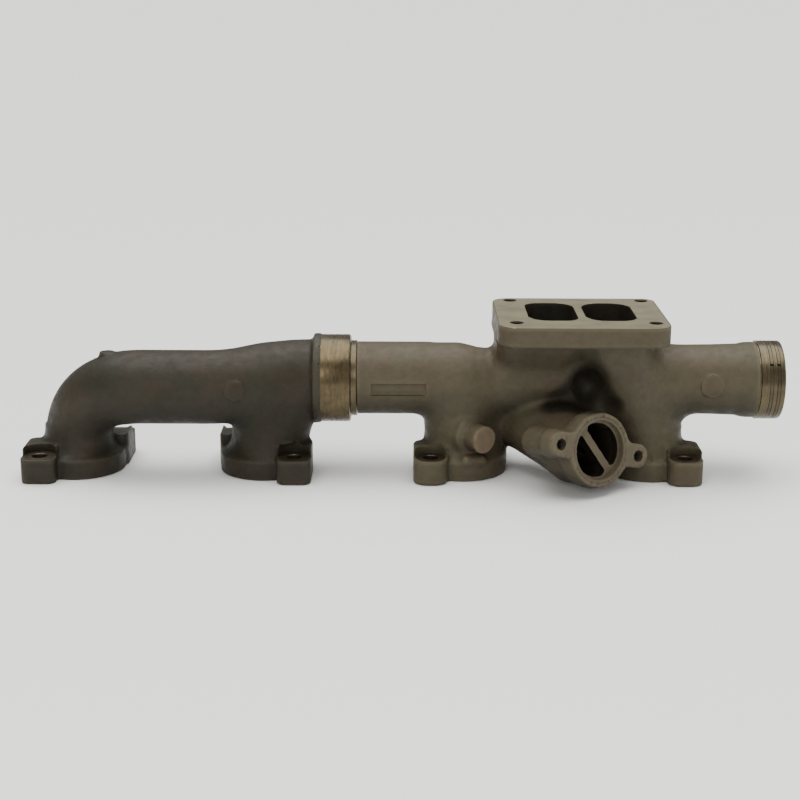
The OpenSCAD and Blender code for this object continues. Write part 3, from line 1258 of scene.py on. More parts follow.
@dataclass
class EndCasting:
    """End section: two port flanges, an elbow, the bent log and the socket collar.

    Attributes:
        far_x: Place of port 1.
        near_x: Place of port 2.
        joint: The spigot that the socket takes.
        low: Lowest corner of the space that the casting is worked out in.
        high: Highest corner of it.
        straight_x: Where the log's straight stretch starts and ends.
        run: Place of the straight stretch across the log, and its height.
        log_radius: Outer radius of the log.
        growth: Where the log starts to grow towards the socket, and over what length.
        socket_radius: Outer radius of the log beside the socket.
        foot_radius: Outer radius at the elbow's foot.
        elbow_run: How far from port 1 the log is narrowed.
        gas_radius: Radius of the log's bore.
        port_radius: Radius of the ports.
        port_height: Height over which port 1 widens to the bore.
        neck: Neck over port 2, counted from the port, in millimetres.
        brace: Rib from that neck to the collar, counted the same way.
        collar_radius: Radius of the machined collar.
        collar_mouth: Place of the collar's open end.
        collar_back: Place of its back.
        rim_radius: Radius of the cast rim at its back.
        rim_width: Width of that rim.
        socket_depth: Depth of the room for the collar's lining.
        socket_gap: Room between the spigot's tip and the socket's bottom.
        nub: Middle of the nub on the elbow, counted from port 1.
        nub_radius: Its radius.
        pads: Plain pads on the log.
        body: The body that it is.
        slot: Name passed on to the bolt seats.
        flanges: The port flanges.
    """

    far_x: float
    near_x: float
    joint: Spigot
    low: Point = mm(-376, -60, -4)
    high: Point = mm(-86, 60, 124)
    straight_x: Point = mm(-216, -270)
    run: Point = mm(-20, 76.6)
    log_radius: float = 31.2 * MM
    growth: Point = mm(-200, 50)
    socket_radius: float = 32.9 * MM
    foot_radius: float = 28.0 * MM
    elbow_run: float = 44.0 * MM
    gas_radius: float = 24.5 * MM
    port_radius: float = 21.0 * MM
    port_height: float = 60.0 * MM
    neck: Bar = Bar((2, 0, 0), (2, -12, 76.6), 27.8)
    brace: Bar = Bar((8, 0, 24), (22, -2, 77), 27.4)
    collar_radius: float = 37.25 * MM
    collar_mouth: float = -94.4 * MM
    collar_back: float = -125.2 * MM
    rim_radius: float = 37.6 * MM
    rim_width: float = 5.0 * MM
    socket_depth: float = 28.8 * MM
    socket_gap: float = 7.6 * MM
    nub: Point = mm(30, -16, 95)
    nub_radius: float = 6.0 * MM
    pads: tuple[Pad, ...] = (Pad((-189.5, -46, 80.3), 8.5, 1), Pad((-262, -50, 74), 5.5, 0.5))
    body: str = "end_casting"
    slot: str = "end_iron"
    flanges: list[PortFlange] = field(default_factory=list)

    def __post_init__(self) -> None:
        """Places the port flanges."""
        self.flanges = [
            PortFlange(self.far_x, 1, neck=25.4 * MM, nose=7 * MM),
            PortFlange(self.near_x, -1, neck=27 * MM, nose=8 * MM),
        ]

    def route(self) -> np.ndarray:
        """Axis of the log, from inside the socket to port 1's face.

        Returns:
            Its points.
        """
        start = np.array([self.collar_back - 1 * MM, 0, self.joint.axis_z])
        side, turn = (np.array([x, *self.run]) for x in self.straight_x)
        foot = np.array([self.far_x, 0, 20 * MM])
        east = np.array(mm(32, 0, 0))
        return np.concatenate([
            [start + mm(12, 0, 0)],
            bezier(start, start - east, side + east, side, 14),
            bezier(side, side - 0.5 * east, turn + 0.5 * east, turn, 2)[1:],
            bezier(turn, turn - 0.92 * east, foot + mm(0, -3, 43), foot, 24)[1:],
            [[self.far_x, 0, -6 * MM]],
        ])

    def log(self) -> Solid:
        """The outside of the bent log, narrowing down the elbow and growing towards the socket.

        Returns:
            The log.
        """
        route, (first, length) = self.route()[:-1], self.growth
        narrowing = 1 - np.clip((route[:, 0] - self.far_x) / self.elbow_run, 0, 1)
        growth = np.clip((route[:, 0] - first) / length, 0, 1)
        radii = self.log_radius - (self.log_radius - self.foot_radius) * narrowing
        return pipe(route, radii + (self.socket_radius - self.log_radius) * growth)

    def outside(self) -> Solid:
        """The casting's outer form, before its holes are cut.

        Returns:
            The form.
        """
        log, z, half = self.log(), self.joint.axis_z, (self.collar_mouth - self.collar_back) / 2
        flare = disc(
            (self.collar_back + half - 1 * MM, 0, z), ALONG, self.collar_radius - 0.4 * MM,
            half - 0.5 * MM, 2.0 * MM,
        )
        rim_half = self.rim_width / 2
        rim = disc((self.collar_back + rim_half, 0, z), ALONG, self.rim_radius, rim_half, 1.4 * MM)
        nub = disc(np.array(self.nub) + (self.far_x, 0, 0), UP, self.nub_radius, 10.9 * MM, 1.4 * MM)
        neck, brace = self.neck.solid(self.near_x), self.brace.solid(self.near_x)
        return blend(
            log, (neck, 14), (brace, 10), (flare, 5), (rim, 3),
            *((flange.body(), 6) for flange in self.flanges), (nub, 4),
            *((pad.on(log), 0.8) for pad in self.pads),
        )

    def passages(self) -> Solid:
        """The gas passages, with the socket that holds the spigot.

        Returns:
            The passages.
        """
        route, port = self.route(), self.port_radius
        gas = pipe(route, port + (self.gas_radius - port) * np.clip(route[:, 2] / self.port_height, 0, 1))
        near = Bar((0, 0, -20), (0, 0, 30), port / MM).solid(self.near_x)
        rise = Bar((0, 0, 20), (0, -14, 76.6), port / MM).solid(self.near_x)
        mouth = (self.collar_mouth, 0, self.joint.axis_z)
        socket = disc(mouth, ALONG, self.collar_radius - 2 * MM, self.socket_depth)
        return blend(gas, (near, 3), (rise, 6), (socket, 0))

    def solid(self) -> Solid:
        """The whole casting.

        Returns:
            The casting.
        """
        taken = union([*(flange.holes() for flange in self.flanges), under_plane()])
        return self.outside().cut(self.passages(), 1.5).cut(taken, 0)

    def build(self) -> bpy.types.Object:
        """Makes the casting with its machined parts.

        Returns:
            The cast body.
        """
        solid = self.solid()
        skin = skin_of(solid, self.low, self.high).kept_in("end_casting")
        made = piece("end_casting_body", skin, self.body, [Finish.END_CAST])
        add_shading(made, skin, solid, self.passages())
        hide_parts("end_casting")
        for number, flange in enumerate(self.flanges, 1):
            flange.seats(f"port_{number}", self.body, self.slot)
        self.build_collar()
        return made

    def build_collar(self) -> bpy.types.Object:
        """Makes the machined band of the collar with the socket inside it.

        Returns:
            The collar.
        """
        outer, inner = self.collar_radius, self.joint.land + 0.08 * MM
        lining, gas = inner + 1 * MM, self.gas_radius - 0.2 * MM
        back, mouth = self.collar_back + self.rim_width - 0.3 * MM, self.collar_mouth
        bottom, step = self.joint.tip - self.socket_gap, 3 * MM
        outline = [
            (back, outer - 0.6 * MM), (back + 0.6 * MM, outer), (mouth - 1.6 * MM, outer),
            (mouth - 0.5 * MM, outer - 0.5 * MM), (mouth, outer - 1.6 * MM), (mouth, inner + 0.8 * MM),
            (mouth - 0.8 * MM, inner), (bottom, inner), (bottom, gas), (bottom - step, gas),
            (bottom - step, lining), (back, lining),
        ]
        skin = turned(outline, (0, 0, self.joint.axis_z), ALONG, 160)
        return piece("socket_collar", skin, self.body, [Finish.GROUND], sharp=30)


@dataclass
class ThreadedHole:
    """Tapped hole with a countersunk mouth.

    Attributes:
        mouth: Middle of its mouth.
        axis: Direction out of the mouth.
        root: Radius inside the thread.
        pitch: Pitch of the thread.
        depth: Depth of the hole.
        sunk: How deep the countersink goes.
    """

    mouth: Point
    axis: Point
    root: float
    pitch: float
    depth: float
    sunk: float = 0.25 * MM

    @property
    def crest(self) -> float:
        """Radius at the bottom of the thread's grooves."""
        return self.root + 0.5 * self.pitch

    def drilled(self) -> Solid:
        """What the cast body gives way for."""
        return disc(self.mouth, self.axis, self.crest + 0.5 * MM, self.depth - 0.3 * MM)

    def build(self, name: str, body: str, slot: str) -> None:
        """Makes the wall of the hole.

        Formula: the thread is drawn as rings, a zigzag between the root and the crest at each pitch.

        Args:
            name: The piece's name.
            body: The body that it rides on.
            slot: Not used.
        """
        lip, outer = -0.02 * MM, self.crest + 0.9 * MM
        outline = [(lip, outer), (lip, self.crest + self.sunk), (-self.sunk, self.crest)]
        for turn in range(int((self.depth - 1.5 * MM) / self.pitch)):
            at = -self.sunk - turn * self.pitch
            outline += [(at - self.pitch * 0.45, self.root), (at - self.pitch * 0.55, self.root)]
            outline += [(at - self.pitch, self.crest)]
        outline += [(-self.depth, self.root), (-self.depth, outer)]
        piece(name, turned(outline, self.mouth, self.axis, 40), body, [Finish.THREAD], sharp=25)


@dataclass
class Outlet:
    """Recirculation outlet: a stub with a stepped round mouth, a dividing bar and two ears.

    Its own axes are X along the line of the two ears, Z out of the face.

    Attributes:
        at: Middle of its face.
        turn: Turn of the face about the vertical, from facing -Y towards +X.
        tilt: Upward tilt of the face.
        roll: Turn of the ears' line in the face, clockwise as seen from outside.
        radius: Outer radius of the head.
        rim: Rounding of the head's edges.
        step: Radius and depth of the counterbore.
        passage: Radius of the passage behind it.
        bar: Thickness of the bar across the passage.
        bar_turn: Turn of the bar in the face.
        bar_offset: How far the bar lies off the axis.
        corner: Corner radius of the two openings beside the bar.
        ear_radius: Radius of an ear's nose.
        ear_reach: Distance of an ear's hole from the axis.
        ear_depth: Thickness of the ears.
        strut: Depth of the rib's end behind the left ear, and its radius there.
        mouth: Radius and depth of the finely worked mouth.
        mouth_step: Spacing of the grid that the mouth is worked out on.
        stub: The stub's pipe, as places from the log's underside, in millimetres.
        stub_radii: Its radii, the last one at the head, in millimetres.
    """

    at: Point = mm(111.5, -75, 39.1)
    turn: float = math.radians(33)
    tilt: float = math.radians(10)
    roll: float = math.radians(15.8)
    radius: float = 30.4 * MM
    rim: float = 0.7 * MM
    step: Point = mm(24.5, 5)
    passage: float = 22.2 * MM
    bar: float = 4.2 * MM
    bar_turn: float = math.radians(-41.5)
    bar_offset: float = -0.8 * MM
    corner: float = 7.5 * MM
    ear_radius: float = 10.0 * MM
    ear_reach: float = 41.0 * MM
    ear_depth: float = 13.0 * MM
    strut: Point = mm(38, 12.6)
    mouth: Point = mm(26.6, 12)
    mouth_step: float = 0.9 * MM
    stub: tuple[Point, ...] = ((54.8, 11.4, 42.5), (68, -9, 40.2), (82.5, -31.4, 37.4))
    stub_radii: Point = (27.5, 28.4, 29.0, 29.2)

    def basis(self) -> np.ndarray:
        """Its axes as columns.

        Returns:
            The (3, 3) array.
        """
        return np.array(
            Matrix.Rotation(self.turn, 3, "Z")
            @ Matrix.Rotation(math.pi / 2 - self.tilt, 3, "X")
            @ Matrix.Rotation(-self.roll, 3, "Z")
        )

    def outward(self) -> np.ndarray:
        """Direction out of the face."""
        return self.basis()[:, 2]

    def behind(self, depth: float) -> np.ndarray:
        """Point on its axis so far behind the face."""
        return np.asarray(self.at) - self.outward() * depth

    def holes(self) -> list[ThreadedHole]:
        """The two tapped holes in the ears.

        Returns:
            The holes.
        """
        mouths = [np.asarray(self.at) + side * self.ear_reach * self.basis()[:, 0] for side in (-1, 1)]
        sizes = {"root": 3.4 * MM, "pitch": 1.25 * MM, "depth": 18 * MM}
        return [ThreadedHole(mouth, self.outward(), **sizes) for mouth in mouths]

    def duct(self) -> Solid:
        """The stub's pipe, from the log's underside to the head.

        Returns:
            The pipe.
        """
        end, middle, half, edge = mm(34, 22, 15, 1)
        route = np.array([*(mm(*place) for place in self.stub), self.behind(end)])
        radii = np.array(self.stub_radii) * MM
        straight = disc(self.behind(middle), self.outward(), radii[-1], half, edge)
        return pipe(route, radii).join(straight, 3)

    def head(self) -> Solid:
        """The flat-faced head with its two ears.

        Returns:
            The head.
        """
        half, foot = self.ear_depth / 2, (0, 0, -self.ear_depth)
        whole = disc((0, 0, -half), UP, self.radius, half, self.rim)
        for side in (-1, 1):
            start = (side * self.ear_reach, 0, -self.ear_depth)
            whole = whole.join(tongue(start, foot, self.ear_radius, self.ear_depth, self.rim), 5)
        return placed(whole.within(under_plane()), self.basis(), self.at)

    def rib(self) -> Solid:
        """The thick rib behind the left ear.

        Returns:
            The rib.
        """
        depth, radius = self.strut
        start = (-self.ear_reach, 0, -self.ear_depth + 2 * MM)
        end = (4 * MM - self.ear_reach, 0, -depth)
        return placed(round_bar(start, end, self.ear_radius - 0.4 * MM, radius), self.basis(), self.at)

    def openings(self) -> Solid:
        """The two D-shaped passages beside the bar, in the outlet's own axes.

        Returns:
            The passages.
        """
        middle, half = mm(-26, 24)
        round_part = disc((0, 0, middle), UP, self.passage, half)
        across = np.array([-math.sin(self.bar_turn), math.cos(self.bar_turn), 0.0])

        def distance(points: np.ndarray) -> np.ndarray:
            """Distances of the points."""
            clear = self.bar / 2 - np.abs(points @ across - self.bar_offset)
            return rounded_corner(round_part(points) + self.corner, clear + self.corner, self.corner)

        return Solid(distance)

    def hollow(self) -> Solid:
        """What is taken out of the cast body: room for the mouth's insert, and the passages behind it."""
        room = disc((0, 0, 0), UP, *(size - 0.5 * MM for size in self.mouth))
        return placed(room.join(self.openings(), 0), self.basis(), self.at)

    def build_mouth(self, body: str, slot: str) -> bpy.types.Object:
        """Makes the stepped mouth with its dividing bar, on a finer grid than the body.

        Args:
            body: The body that it rides on.
            slot: Not used.

        Returns:
            The mouth.
        """
        (radius, depth), (step_radius, step_depth) = self.mouth, self.step
        proud, margin = 0.03 * MM, 2 * MM
        block = disc((0, 0, (proud - depth) / 2), UP, radius, (proud + depth) / 2)
        step = disc((0, 0, 0), UP, step_radius, step_depth)
        chamfer = disc((0, 0, 0), UP, step_radius + 0.3 * MM, 0.4 * MM)
        solid = block.cut(step, 0).cut(chamfer, 0).cut(self.openings(), 0.9)
        reach = radius + margin
        skin = skin_of(solid, (-reach, -reach, -depth - margin), (reach, reach, margin), self.mouth_step)
        under_face = -skin.vertices[skin.faces][..., 2].mean(axis=1)
        finish_of = (under_face > step_depth + 0.35 * MM).astype(np.int32)
        skin = Skin(skin.vertices @ self.basis().T + np.asarray(self.at), skin.faces)
        return piece("outlet_mouth", skin, body, [Finish.OUTLET, Finish.CORE], finish_of, sharp=30)


@dataclass(frozen=True)
class GasHalf:
    """One half of the centre casting's gas passages, in millimetres.

    Attributes:
        throat_x: Where the log's bore starts to narrow, where it is narrow and where it ends.
        mouth_x: The gallery's two ends in the turbocharger flange.
        corners: The gallery's corner radii.
        root: Outline of the funnel's foot in the log, as its (x, y) lowest and highest corners.
    """

    throat_x: Point
    mouth_x: Point
    corners: Point
    root: tuple[Point, Point]


class Cut(IntEnum):
    """Places of the centre casting's finishes on its mesh."""

    CAST = 0
    MILLED = 1
    OUTLET = 2
    SAWN = 3


@dataclass
class CentreCasting:
    """Centre section: the log with a spigot at each end, two ports, the turbocharger flange and the outlet.

    Attributes:
        left: The spigot inside the slip joint.
        right: The open spigot.
        pitch: Spacing of the ports.
        low: Lowest corner of the space that the casting is worked out in.
        high: Highest corner of it.
        outlet: The recirculation outlet.
        tube: Stations of the log as (place along it, height, radius), in millimetres.
        neck_top: Height of the necks' ends inside the log, in millimetres.
        necks: Radius of each neck at its foot and at its top, in millimetres.
        plate_low: Lowest corner of the turbocharger flange.
        plate_high: Highest corner of it.
        plate_corners: Its corner radii.
        bolts_at: Middle of its bolt pattern.
        bolts_apart: Spacing of its bolts along and across the log.
        skirt: Thickening from port 4's neck to the right branch, in millimetres.
        pocket_legs: The legs and the top of the hollow between the branches, with their fillets.
        jacket: Wall round the cored passage behind the outlet.
        bead: Bead on port 3's flange.
        seam: Short seam over the outlet's pipe.
        fin: Thin fin down port 4's neck, counted from the port.
        pad: Plain pad on the tube.
        blank: Lowest and highest corner of the plain sunk field on the tube.
        blank_depth: Depth of that field.
        boss_face: Middle of the sawn boss's end.
        boss_turn: Turn of the boss about the vertical, from facing -Y towards +X.
        boss_radius: Its radius.
        boss_root: Its thicker root: depth of the root's middle behind the end, radius and half the length.
        gas_radius: Radius of the log's bore.
        narrow: Radius of the bore under the flange, and how far it drops there.
        port_radius: Radius of the ports.
        gallery_y: The galleries' two sides, in millimetres.
        halves: The two halves of the gas passages.
        cores: The two cored passages behind the outlet.
        body: The body that it is.
        slot: Name passed on to the bolt seats, spigots, outlet mouth and threads.
        flanges: The port flanges.
    """

    left: Spigot
    right: Spigot
    pitch: float
    low: Point = mm(-92, -118, -4)
    high: Point = mm(252, 62, 144)
    outlet: Outlet = field(default_factory=Outlet)
    tube: tuple[Point, ...] = (
        (-88, 80.4, 30.8), (-30, 80.4, 30.8), (-8, 79.6, 29.8), (10, 77.2, 27.4), (28, 77.6, 27.8),
        (60, 79.6, 30.0), (150, 80.2, 30.2), (190, 80.2, 29.5), (212, 80.2, 29.8), (241, 80.2, 30.8),
        (244, 80, 32.2), (250, 80, 32.2),
    )
    neck_top: float = 74.6
    necks: tuple[Point, Point] = ((28.8, 28.4), (26.4, 27))
    plate_low: Point = mm(27.5, -66, 122.3)
    plate_high: Point = mm(168.8, 54, 138.8)
    plate_corners: Corners = Corners(*mm(10, 18, 14, 18))
    bolts_at: Point = mm(100, 0)
    bolts_apart: Point = mm(114.3, 88.9)
    skirt: Bar = Bar((157, -4, 14), (136, -13, 96), 27, 25)
    pocket_legs: tuple[tuple[Bar, float], ...] = (
        (Bar((100, -37, 76), (77, -34.5, 64), 11.5, 8), 6),
        (Bar((106, -37, 76), (122, -37, 64), 11.5, 8), 6),
        (Bar((104, -46, 92), (104.5, -50, 106), 9, 7), 10),
    )
    jacket: Bar = Bar((100, -38, 40), (115, 2, 63), 13)
    bead: Bar = Bar((4, -36, 17.5), (16, -33, 17.5), 4.2)
    seam: Bar = Bar((62.5, -30, 55), (62.5, -36, 49), 1.5)
    fin: Bar = Bar((0, -25.8, 34), (0, -37, 15), 1.3)
    pad: Pad = Pad((209.7, -29, 81.6), 10, 1)
    blank: tuple[Point, Point] = (mm(-76.8, -40, 72), mm(-30.7, 0, 82.5))
    blank_depth: float = 1.3 * MM
    boss_face: Point = mm(18.5, -42, 37.3)
    boss_turn: float = math.radians(37)
    boss_radius: float = 11.5 * MM
    boss_root: Point = mm(24.5, 15.8, 9)
    gas_radius: float = 24.5 * MM
    narrow: Point = mm(22, 2.2)
    port_radius: float = 21.0 * MM
    gallery_y: Point = (-36.7, 33)
    halves: tuple[GasHalf, GasHalf] = (
        GasHalf((-30, -4, 67), (54, 95.4), (17, 12, 12, 19), ((50, -23), (86, 23))),
        GasHalf((225, 195, 138), (102.4, 143.8), (17, 14, 17, 18), ((118, -23), (152, 23))),
    )
    cores: tuple[Bar, Bar] = (Bar((95, -54, 34), (70, 0, 60), 9), Bar((99, -45, 41), (114, 2, 66), 6.8))
    body: str = "centre_casting"
    slot: str = "centre_iron"
    flanges: list[PortFlange] = field(default_factory=list)

    def __post_init__(self) -> None:
        """Places the port flanges."""
        self.flanges = [
            PortFlange(0.0, 1, neck=28.2 * MM, nose=12.5 * MM),
            PortFlange(self.pitch, -1, neck=26 * MM, nose=10 * MM),
        ]

    def turbo_holes(self) -> list[ThreadedHole]:
        """The four tapped holes in the turbocharger flange.

        Returns:
            The holes.
        """
        (x, y), (along, across), top = self.bolts_at, self.bolts_apart, self.plate_high[2]
        sizes = {"root": 4.25 * MM, "pitch": 1.5 * MM, "depth": 16.4 * MM}
        return [
            ThreadedHole((x + i * along / 2, y + j * across / 2, top), UP, **sizes)
            for i in (-1, 1) for j in (-1, 1)
        ]

    def log(self) -> Solid:
        """The cast tube between the spigots, dipping beside the riser and narrowing past port 4.

        Returns:
            The tube.
        """
        stations = np.array(self.tube) * MM
        points = np.stack([stations[:, 0], np.zeros(len(stations)), stations[:, 1]], axis=1)
        lap = 0.3 * MM
        left, right = self.left.tip + self.left.length - lap, self.right.tip - self.right.length + lap
        span = Solid(lambda where: np.maximum(left - where[:, 0], where[:, 0] - right))
        return pipe(points, stations[:, 2]).within(span)

    def risers(self) -> Solid:
        """The two branches that carry the turbocharger flange.

        Returns:
            The branches.
        """
        edge = 3 * MM
        left_foot, left_top = (mm(29, -26), mm(98, 29)), (mm(27.6, -45), mm(101, 38))
        right_foot, right_top = (mm(104, -29), mm(164, 29)), (mm(97, -45), mm(155, 38))
        left = Riser(left_foot, left_top, mm(78, 126), mm(22, 18), edge)
        right = Riser(right_foot, right_top, mm(62, 126), mm(26, 15), edge)
        return blend(left.solid(), (right.solid(), 10), (self.skirt.solid(), 18))

    def pocket(self) -> Solid:
        """The hollow between the branches at the front, shaped as an inverted V above the duct."""
        middle = egg(mm(104, -43, 79), mm(15.5, 29, 19.5))
        return blend(middle, *((leg.solid(), fillet) for leg, fillet in self.pocket_legs))

    def boss_outward(self) -> np.ndarray:
        """Direction out of the boss's end."""
        return np.array([math.sin(self.boss_turn), -math.cos(self.boss_turn), 0.0])

    def boss(self) -> Solid:
        """Round boss on port 3's neck, with a thicker root.

        Returns:
            The boss.
        """
        out, face = self.boss_outward(), np.asarray(self.boss_face)
        half, (depth, *root) = 15 * MM, self.boss_root
        stub = disc(face - out * half, out, self.boss_radius, half, 0.6 * MM)
        return stub.join(disc(face - out * depth, out, *root, 4 * MM), 3)

    def blank_field(self, log: Solid) -> Solid:
        """What is taken out of the tube for its plain sunk field."""
        above = Solid(lambda points: -(log(points) + self.blank_depth))
        return above.within(plate(*self.blank, Corners.even(0.5 * MM), 0.3 * MM))

    def outside(self) -> Solid:
        """The casting's outer form, before its holes are cut.

        Returns:
            The form.
        """
        deck = plate(self.plate_low, self.plate_high, self.plate_corners, 1.2 * MM)
        third, fourth = (
            Bar((0, 0, 0), (0, 0, self.neck_top), *radii).solid(x)
            for radii, x in zip(self.necks, (0.0, self.pitch))
        )
        log = self.log()
        whole = blend(log, (third, 16), (fourth, 16), (self.risers(), 10)).cut(self.pocket(), 8)
        duct = blend(self.outlet.duct(), (third, 20), (self.outlet.rib(), 14), (self.jacket.solid(), 8))
        whole = blend(
            whole, (duct, 7), (deck, 7), *((flange.body(), 6) for flange in self.flanges),
            (self.outlet.head(), 8), (self.boss(), 5), (self.bead.solid(), 4), (self.seam.solid(), 1),
            (self.fin.solid(self.pitch), 1), (self.pad.on(log), 0.8),
        )
        return whole.cut(self.blank_field(log), 0).cut(self.before_outlet(), 0)

    def before_outlet(self) -> Solid:
        """The space in front of the outlet's face.

        Returns:
            The space.
        """
        face, outward = np.asarray(self.outlet.at), self.outlet.outward()
        radius, half = mm(60, 12)
        ahead = Solid(lambda points: (face - points) @ outward)
        return ahead.within(disc(face, outward, radius, half))

    def gas(self, half: GasHalf, start: float, port_x: float) -> Solid:
        """One half of the log's bore, with its port and its gallery.

        Args:
            half: Its sizes.
            start: Where the bore starts, outside the spigot.
            port_x: Place of the port.

        Returns:
            The passages.
        """
        z, (narrow, drop), bore = self.left.axis_z, self.narrow, self.gas_radius
        wide_x, narrow_x, end_x = mm(*half.throat_x)
        below, shaft_low, shaft_high, funnel_top = mm(-30, 114, 160, 119)
        run = pipe(
            np.array([(start, 0, z), (wide_x, 0, z), (narrow_x, 0, z - drop), (end_x, 0, z - drop)]),
            (bore, bore, narrow, narrow),
        )
        port = round_bar((port_x, 0, below), (port_x, 0, z), self.port_radius)
        mouth = [mm(x, y) for x, y in zip(half.mouth_x, self.gallery_y)]
        root = [mm(*corner) for corner in half.root]
        corners = Corners(*mm(*half.corners))
        shaft = plate((*mouth[0], shaft_low), (*mouth[1], shaft_high), corners, 3 * MM)
        funnel = Riser(root, mouth, (z, funnel_top), mm(14, 16), 4 * MM)
        return blend(run, (port, 8), (funnel.solid(), 5), (shaft, 5))

    def passages(self) -> Solid:
        """The gas passages: two halves of the log, and the two cored passages.

        Returns:
            The passages.
        """
        past, (left, right) = 10 * MM, self.halves
        whole = self.gas(left, self.left.tip - past, 0.0)
        whole = whole.join(self.gas(right, self.right.tip + past, self.pitch), 0)
        return blend(whole, *((core.solid(), 3) for core in self.cores))

    def solid(self) -> Solid:
        """The whole casting.

        Returns:
            The casting.
        """
        taken = [self.outlet.hollow(), under_plane(), *(flange.holes() for flange in self.flanges)]
        taken += [hole.drilled() for hole in self.turbo_holes() + self.outlet.holes()]
        return self.outside().cut(self.passages(), 0.8).cut(union(taken), 0)

    def finish_of(self, skin: Skin) -> np.ndarray:
        """Which finish each face takes.

        Args:
            skin: The cast surface.

        Returns:
            The place of each face's finish, as in Cut.
        """
        corners, reach = skin.vertices[skin.faces], 54 * MM
        middle = corners.mean(axis=1)
        off_face = np.abs((corners - np.asarray(self.outlet.at)) @ self.outlet.outward()).max(axis=1)
        near_outlet = np.linalg.norm(middle - np.asarray(self.outlet.at), axis=1) < reach
        off_boss = middle - np.asarray(self.boss_face)
        near_boss = np.linalg.norm(off_boss, axis=1) < self.boss_radius + 1 * MM
        on_deck = corners[..., 2].min(axis=1) > self.plate_high[2] - 0.25 * MM
        on_outlet = (off_face < 0.1 * MM) & near_outlet
        on_boss = (np.abs(off_boss @ self.boss_outward()) < 0.6 * MM) & near_boss
        return np.select([on_boss, on_outlet, on_deck], [Cut.SAWN, Cut.OUTLET, Cut.MILLED], Cut.CAST)

    def build(self) -> bpy.types.Object:
        """Makes the casting with its machined parts.

        Returns:
            The cast body.
        """
        solid = self.solid()
        skin = skin_of(solid, self.low, self.high).kept_in("centre_casting")
        finishes = [Finish.CENTRE_CAST, Finish.MILLED, Finish.OUTLET, Finish.SAWN]
        made = piece("centre_casting_body", skin, self.body, finishes, self.finish_of(skin))
        # The pocket between the branches takes painted shade on its walls.
        add_shading(made, skin, solid, self.passages().join(self.outlet.hollow(), 0), self.pocket())
        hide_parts("centre_casting")
        for number, flange in enumerate(self.flanges, 3):
            flange.seats(f"port_{number}", self.body, self.slot)
        self.left.build("joint_spigot", self.body, self.slot)
        self.right.build("open_spigot", self.body, self.slot)
        self.outlet.build_mouth(self.body, self.slot)
        for place, holes in (("turbo", self.turbo_holes()), ("outlet", self.outlet.holes())):
            for number, hole in enumerate(holes, 1):
                hole.build(f"{place}_thread_{number}", self.body, self.slot)
        return made


# ---------------------------------------------------------------------------------------------
# Studio
# ---------------------------------------------------------------------------------------------


def hang(light: bpy.types.Light, at: Point, target: Point) -> None:
    """Puts a light at a place, turned towards a target.

    Args:
        light: The light.
        at: The place.
        target: The point that it looks at.
    """
    lamp = bpy.data.objects.new(light.name, light)
    back = unit(np.asarray(at, float) - np.asarray(target, float))
    turn = np.eye(4)
    turn[:3] = np.stack([*square_to(back), back, at], axis=1)
    lamp.matrix_world = Matrix(turn)
    bpy.context.scene.collection.objects.link(lamp)


@dataclass(frozen=True)
class SoftBox:
    """A rectangular light.

    Attributes:
        name: Its name.
        at: Its place.
        size: Its width and height.
        power: Its power in watts.
        colour: Its colour.
    """

    name: str
    at: Point
    size: Point
    power: float
    colour: Point

    def build(self, target: Point) -> None:
        """Hangs the light.

        Args:
            target: The point that it looks at.
        """
        light = bpy.data.lights.new(self.name, "AREA")
        light.shape, light.energy, light.color = "RECTANGLE", self.power, self.colour
        light.size, light.size_y = self.size
        hang(light, self.at, target)


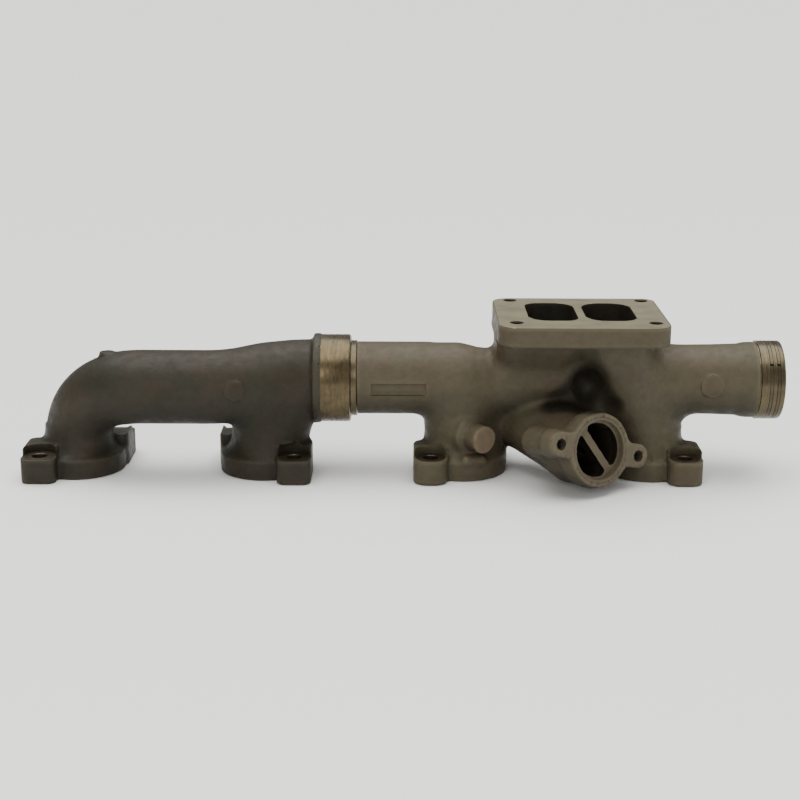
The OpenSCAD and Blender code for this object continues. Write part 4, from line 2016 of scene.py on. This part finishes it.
@dataclass
class Studio:
    """Pale floor, a wide overhead light, two soft boxes and the camera.

    Attributes:
        camera_at: The camera's place.
        camera_drop: How far it looks down.
        camera_roll: Its turn about the line of sight.
        lens: Its focal length in millimetres, on a sensor 36 mm wide.
        floor_size: Width of the floor.
        floor_level: Height of the floor.
        middle: The point that the lights look at.
        overhead_at: Where the overhead light shines from.
        overhead_strength: Its strength.
        overhead_spread: The angle that it spreads over.
        room_light: Strength of the light from all round.
        boxes: The soft boxes.
    """

    camera_at: Point = (-0.0525, -1.3314, 0.4271)
    camera_drop: float = math.radians(15.4)
    camera_roll: float = math.radians(0.25)
    lens: float = 72.4
    floor_size: float = 60.0
    floor_level: float = -0.0006
    middle: Point = (-0.04, 0.0, 0.07)
    overhead_at: Point = (-0.1, 0.25, 2.0)
    overhead_strength: float = 4.6
    overhead_spread: float = math.radians(75)
    room_light: float = 0.34
    boxes: tuple[SoftBox, ...] = (
        SoftBox("front fill", (-0.5, -1.9, 1.0), (1.4, 0.8), 13.0, (1.0, 0.98, 0.94)),
        SoftBox("right rim", (1.7, -0.5, 0.8), (0.9, 1.2), 5.0, (0.98, 0.99, 1.0)),
    )

    def build(self) -> None:
        """Sets up the whole studio."""
        self.build_world()
        self.build_floor()
        overhead = bpy.data.lights.new("overhead", "SUN")
        overhead.energy, overhead.angle = self.overhead_strength, self.overhead_spread
        hang(overhead, self.overhead_at, self.middle)
        for box in self.boxes:
            box.build(self.middle)
        self.build_camera()

    def build_world(self) -> None:
        """Even white surroundings."""
        world = bpy.data.worlds.new("white room")
        world.use_nodes = True
        background = world.node_tree.nodes["Background"]
        background.inputs["Color"].default_value = (1.0, 0.995, 0.98, 1.0)
        background.inputs["Strength"].default_value = self.room_light
        bpy.context.scene.world = world

    def build_floor(self) -> None:
        """Pale floor just under the port faces."""
        half, z = self.floor_size / 2, self.floor_level
        corners = [(x * half, y * half, z) for x, y in ((-1, -1), (1, -1), (1, 1), (-1, 1))]
        mesh = bpy.data.meshes.new("floor")
        mesh.from_pydata(corners, [], [(0, 1, 2, 3)])
        board = Board("floor paper")
        board.feed(board.shader, {"Base Color": paint(244, 244, 242), "Roughness": 0.8})
        mesh.materials.append(board.material)
        floor = bpy.data.objects.new("floor", mesh)
        bpy.context.scene.collection.objects.link(floor)

    def build_camera(self) -> None:
        """Long lens from the front, a little above."""
        lens = bpy.data.cameras.new("camera")
        lens.lens, lens.sensor_width = self.lens, 36.0
        lens.clip_start, lens.clip_end = 0.05, 100.0
        camera = bpy.data.objects.new("camera", lens)
        camera.matrix_world = (
            Matrix.Translation(self.camera_at)
            @ Matrix.Rotation(math.pi / 2 - self.camera_drop, 4, "X")
            @ Matrix.Rotation(self.camera_roll, 4, "Z")
        )
        bpy.context.scene.collection.objects.link(camera)
        bpy.context.scene.camera = camera


@dataclass(frozen=True)
class Layout:
    """The driving sizes of the whole manifold.

    Attributes:
        pitch: Spacing of the ports within a section.
        slip: How far the end section is drawn out of the joint.
        left_tip: Place of the spigot's tip inside the joint.
        right_tip: Place of the open spigot's tip.
    """

    pitch: float = 161.5 * MM
    slip: float = 6.6 * MM
    left_tip: float = -114.1 * MM
    right_tip: float = 270.1 * MM


def main() -> None:
    """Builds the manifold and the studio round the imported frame."""
    logging.basicConfig(level=logging.INFO, format="%(name)s: %(message)s")
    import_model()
    layout = Layout()
    left = Spigot(layout.left_tip, -1, 24.9 * MM)
    right = Spigot(layout.right_tip, 1, 21.6 * MM)
    EndCasting(-2 * layout.pitch - layout.slip, -layout.pitch - layout.slip, left).build()
    CentreCasting(left, right, layout.pitch).build()
    for name, body, spigot, groove in (
        ("joint_ring_outer", "joint_rings", left, 0), ("joint_ring_inner", "joint_rings", left, 1),
        ("end_ring_outer", "end_ring_outer", right, 0), ("end_ring_inner", "end_ring_inner", right, 1),
    ):
        ring = SplitRing(spigot, groove).build(f"{name}_split", body)
        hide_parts(name)
    Studio().build()


if __name__ == "__main__":
    main()
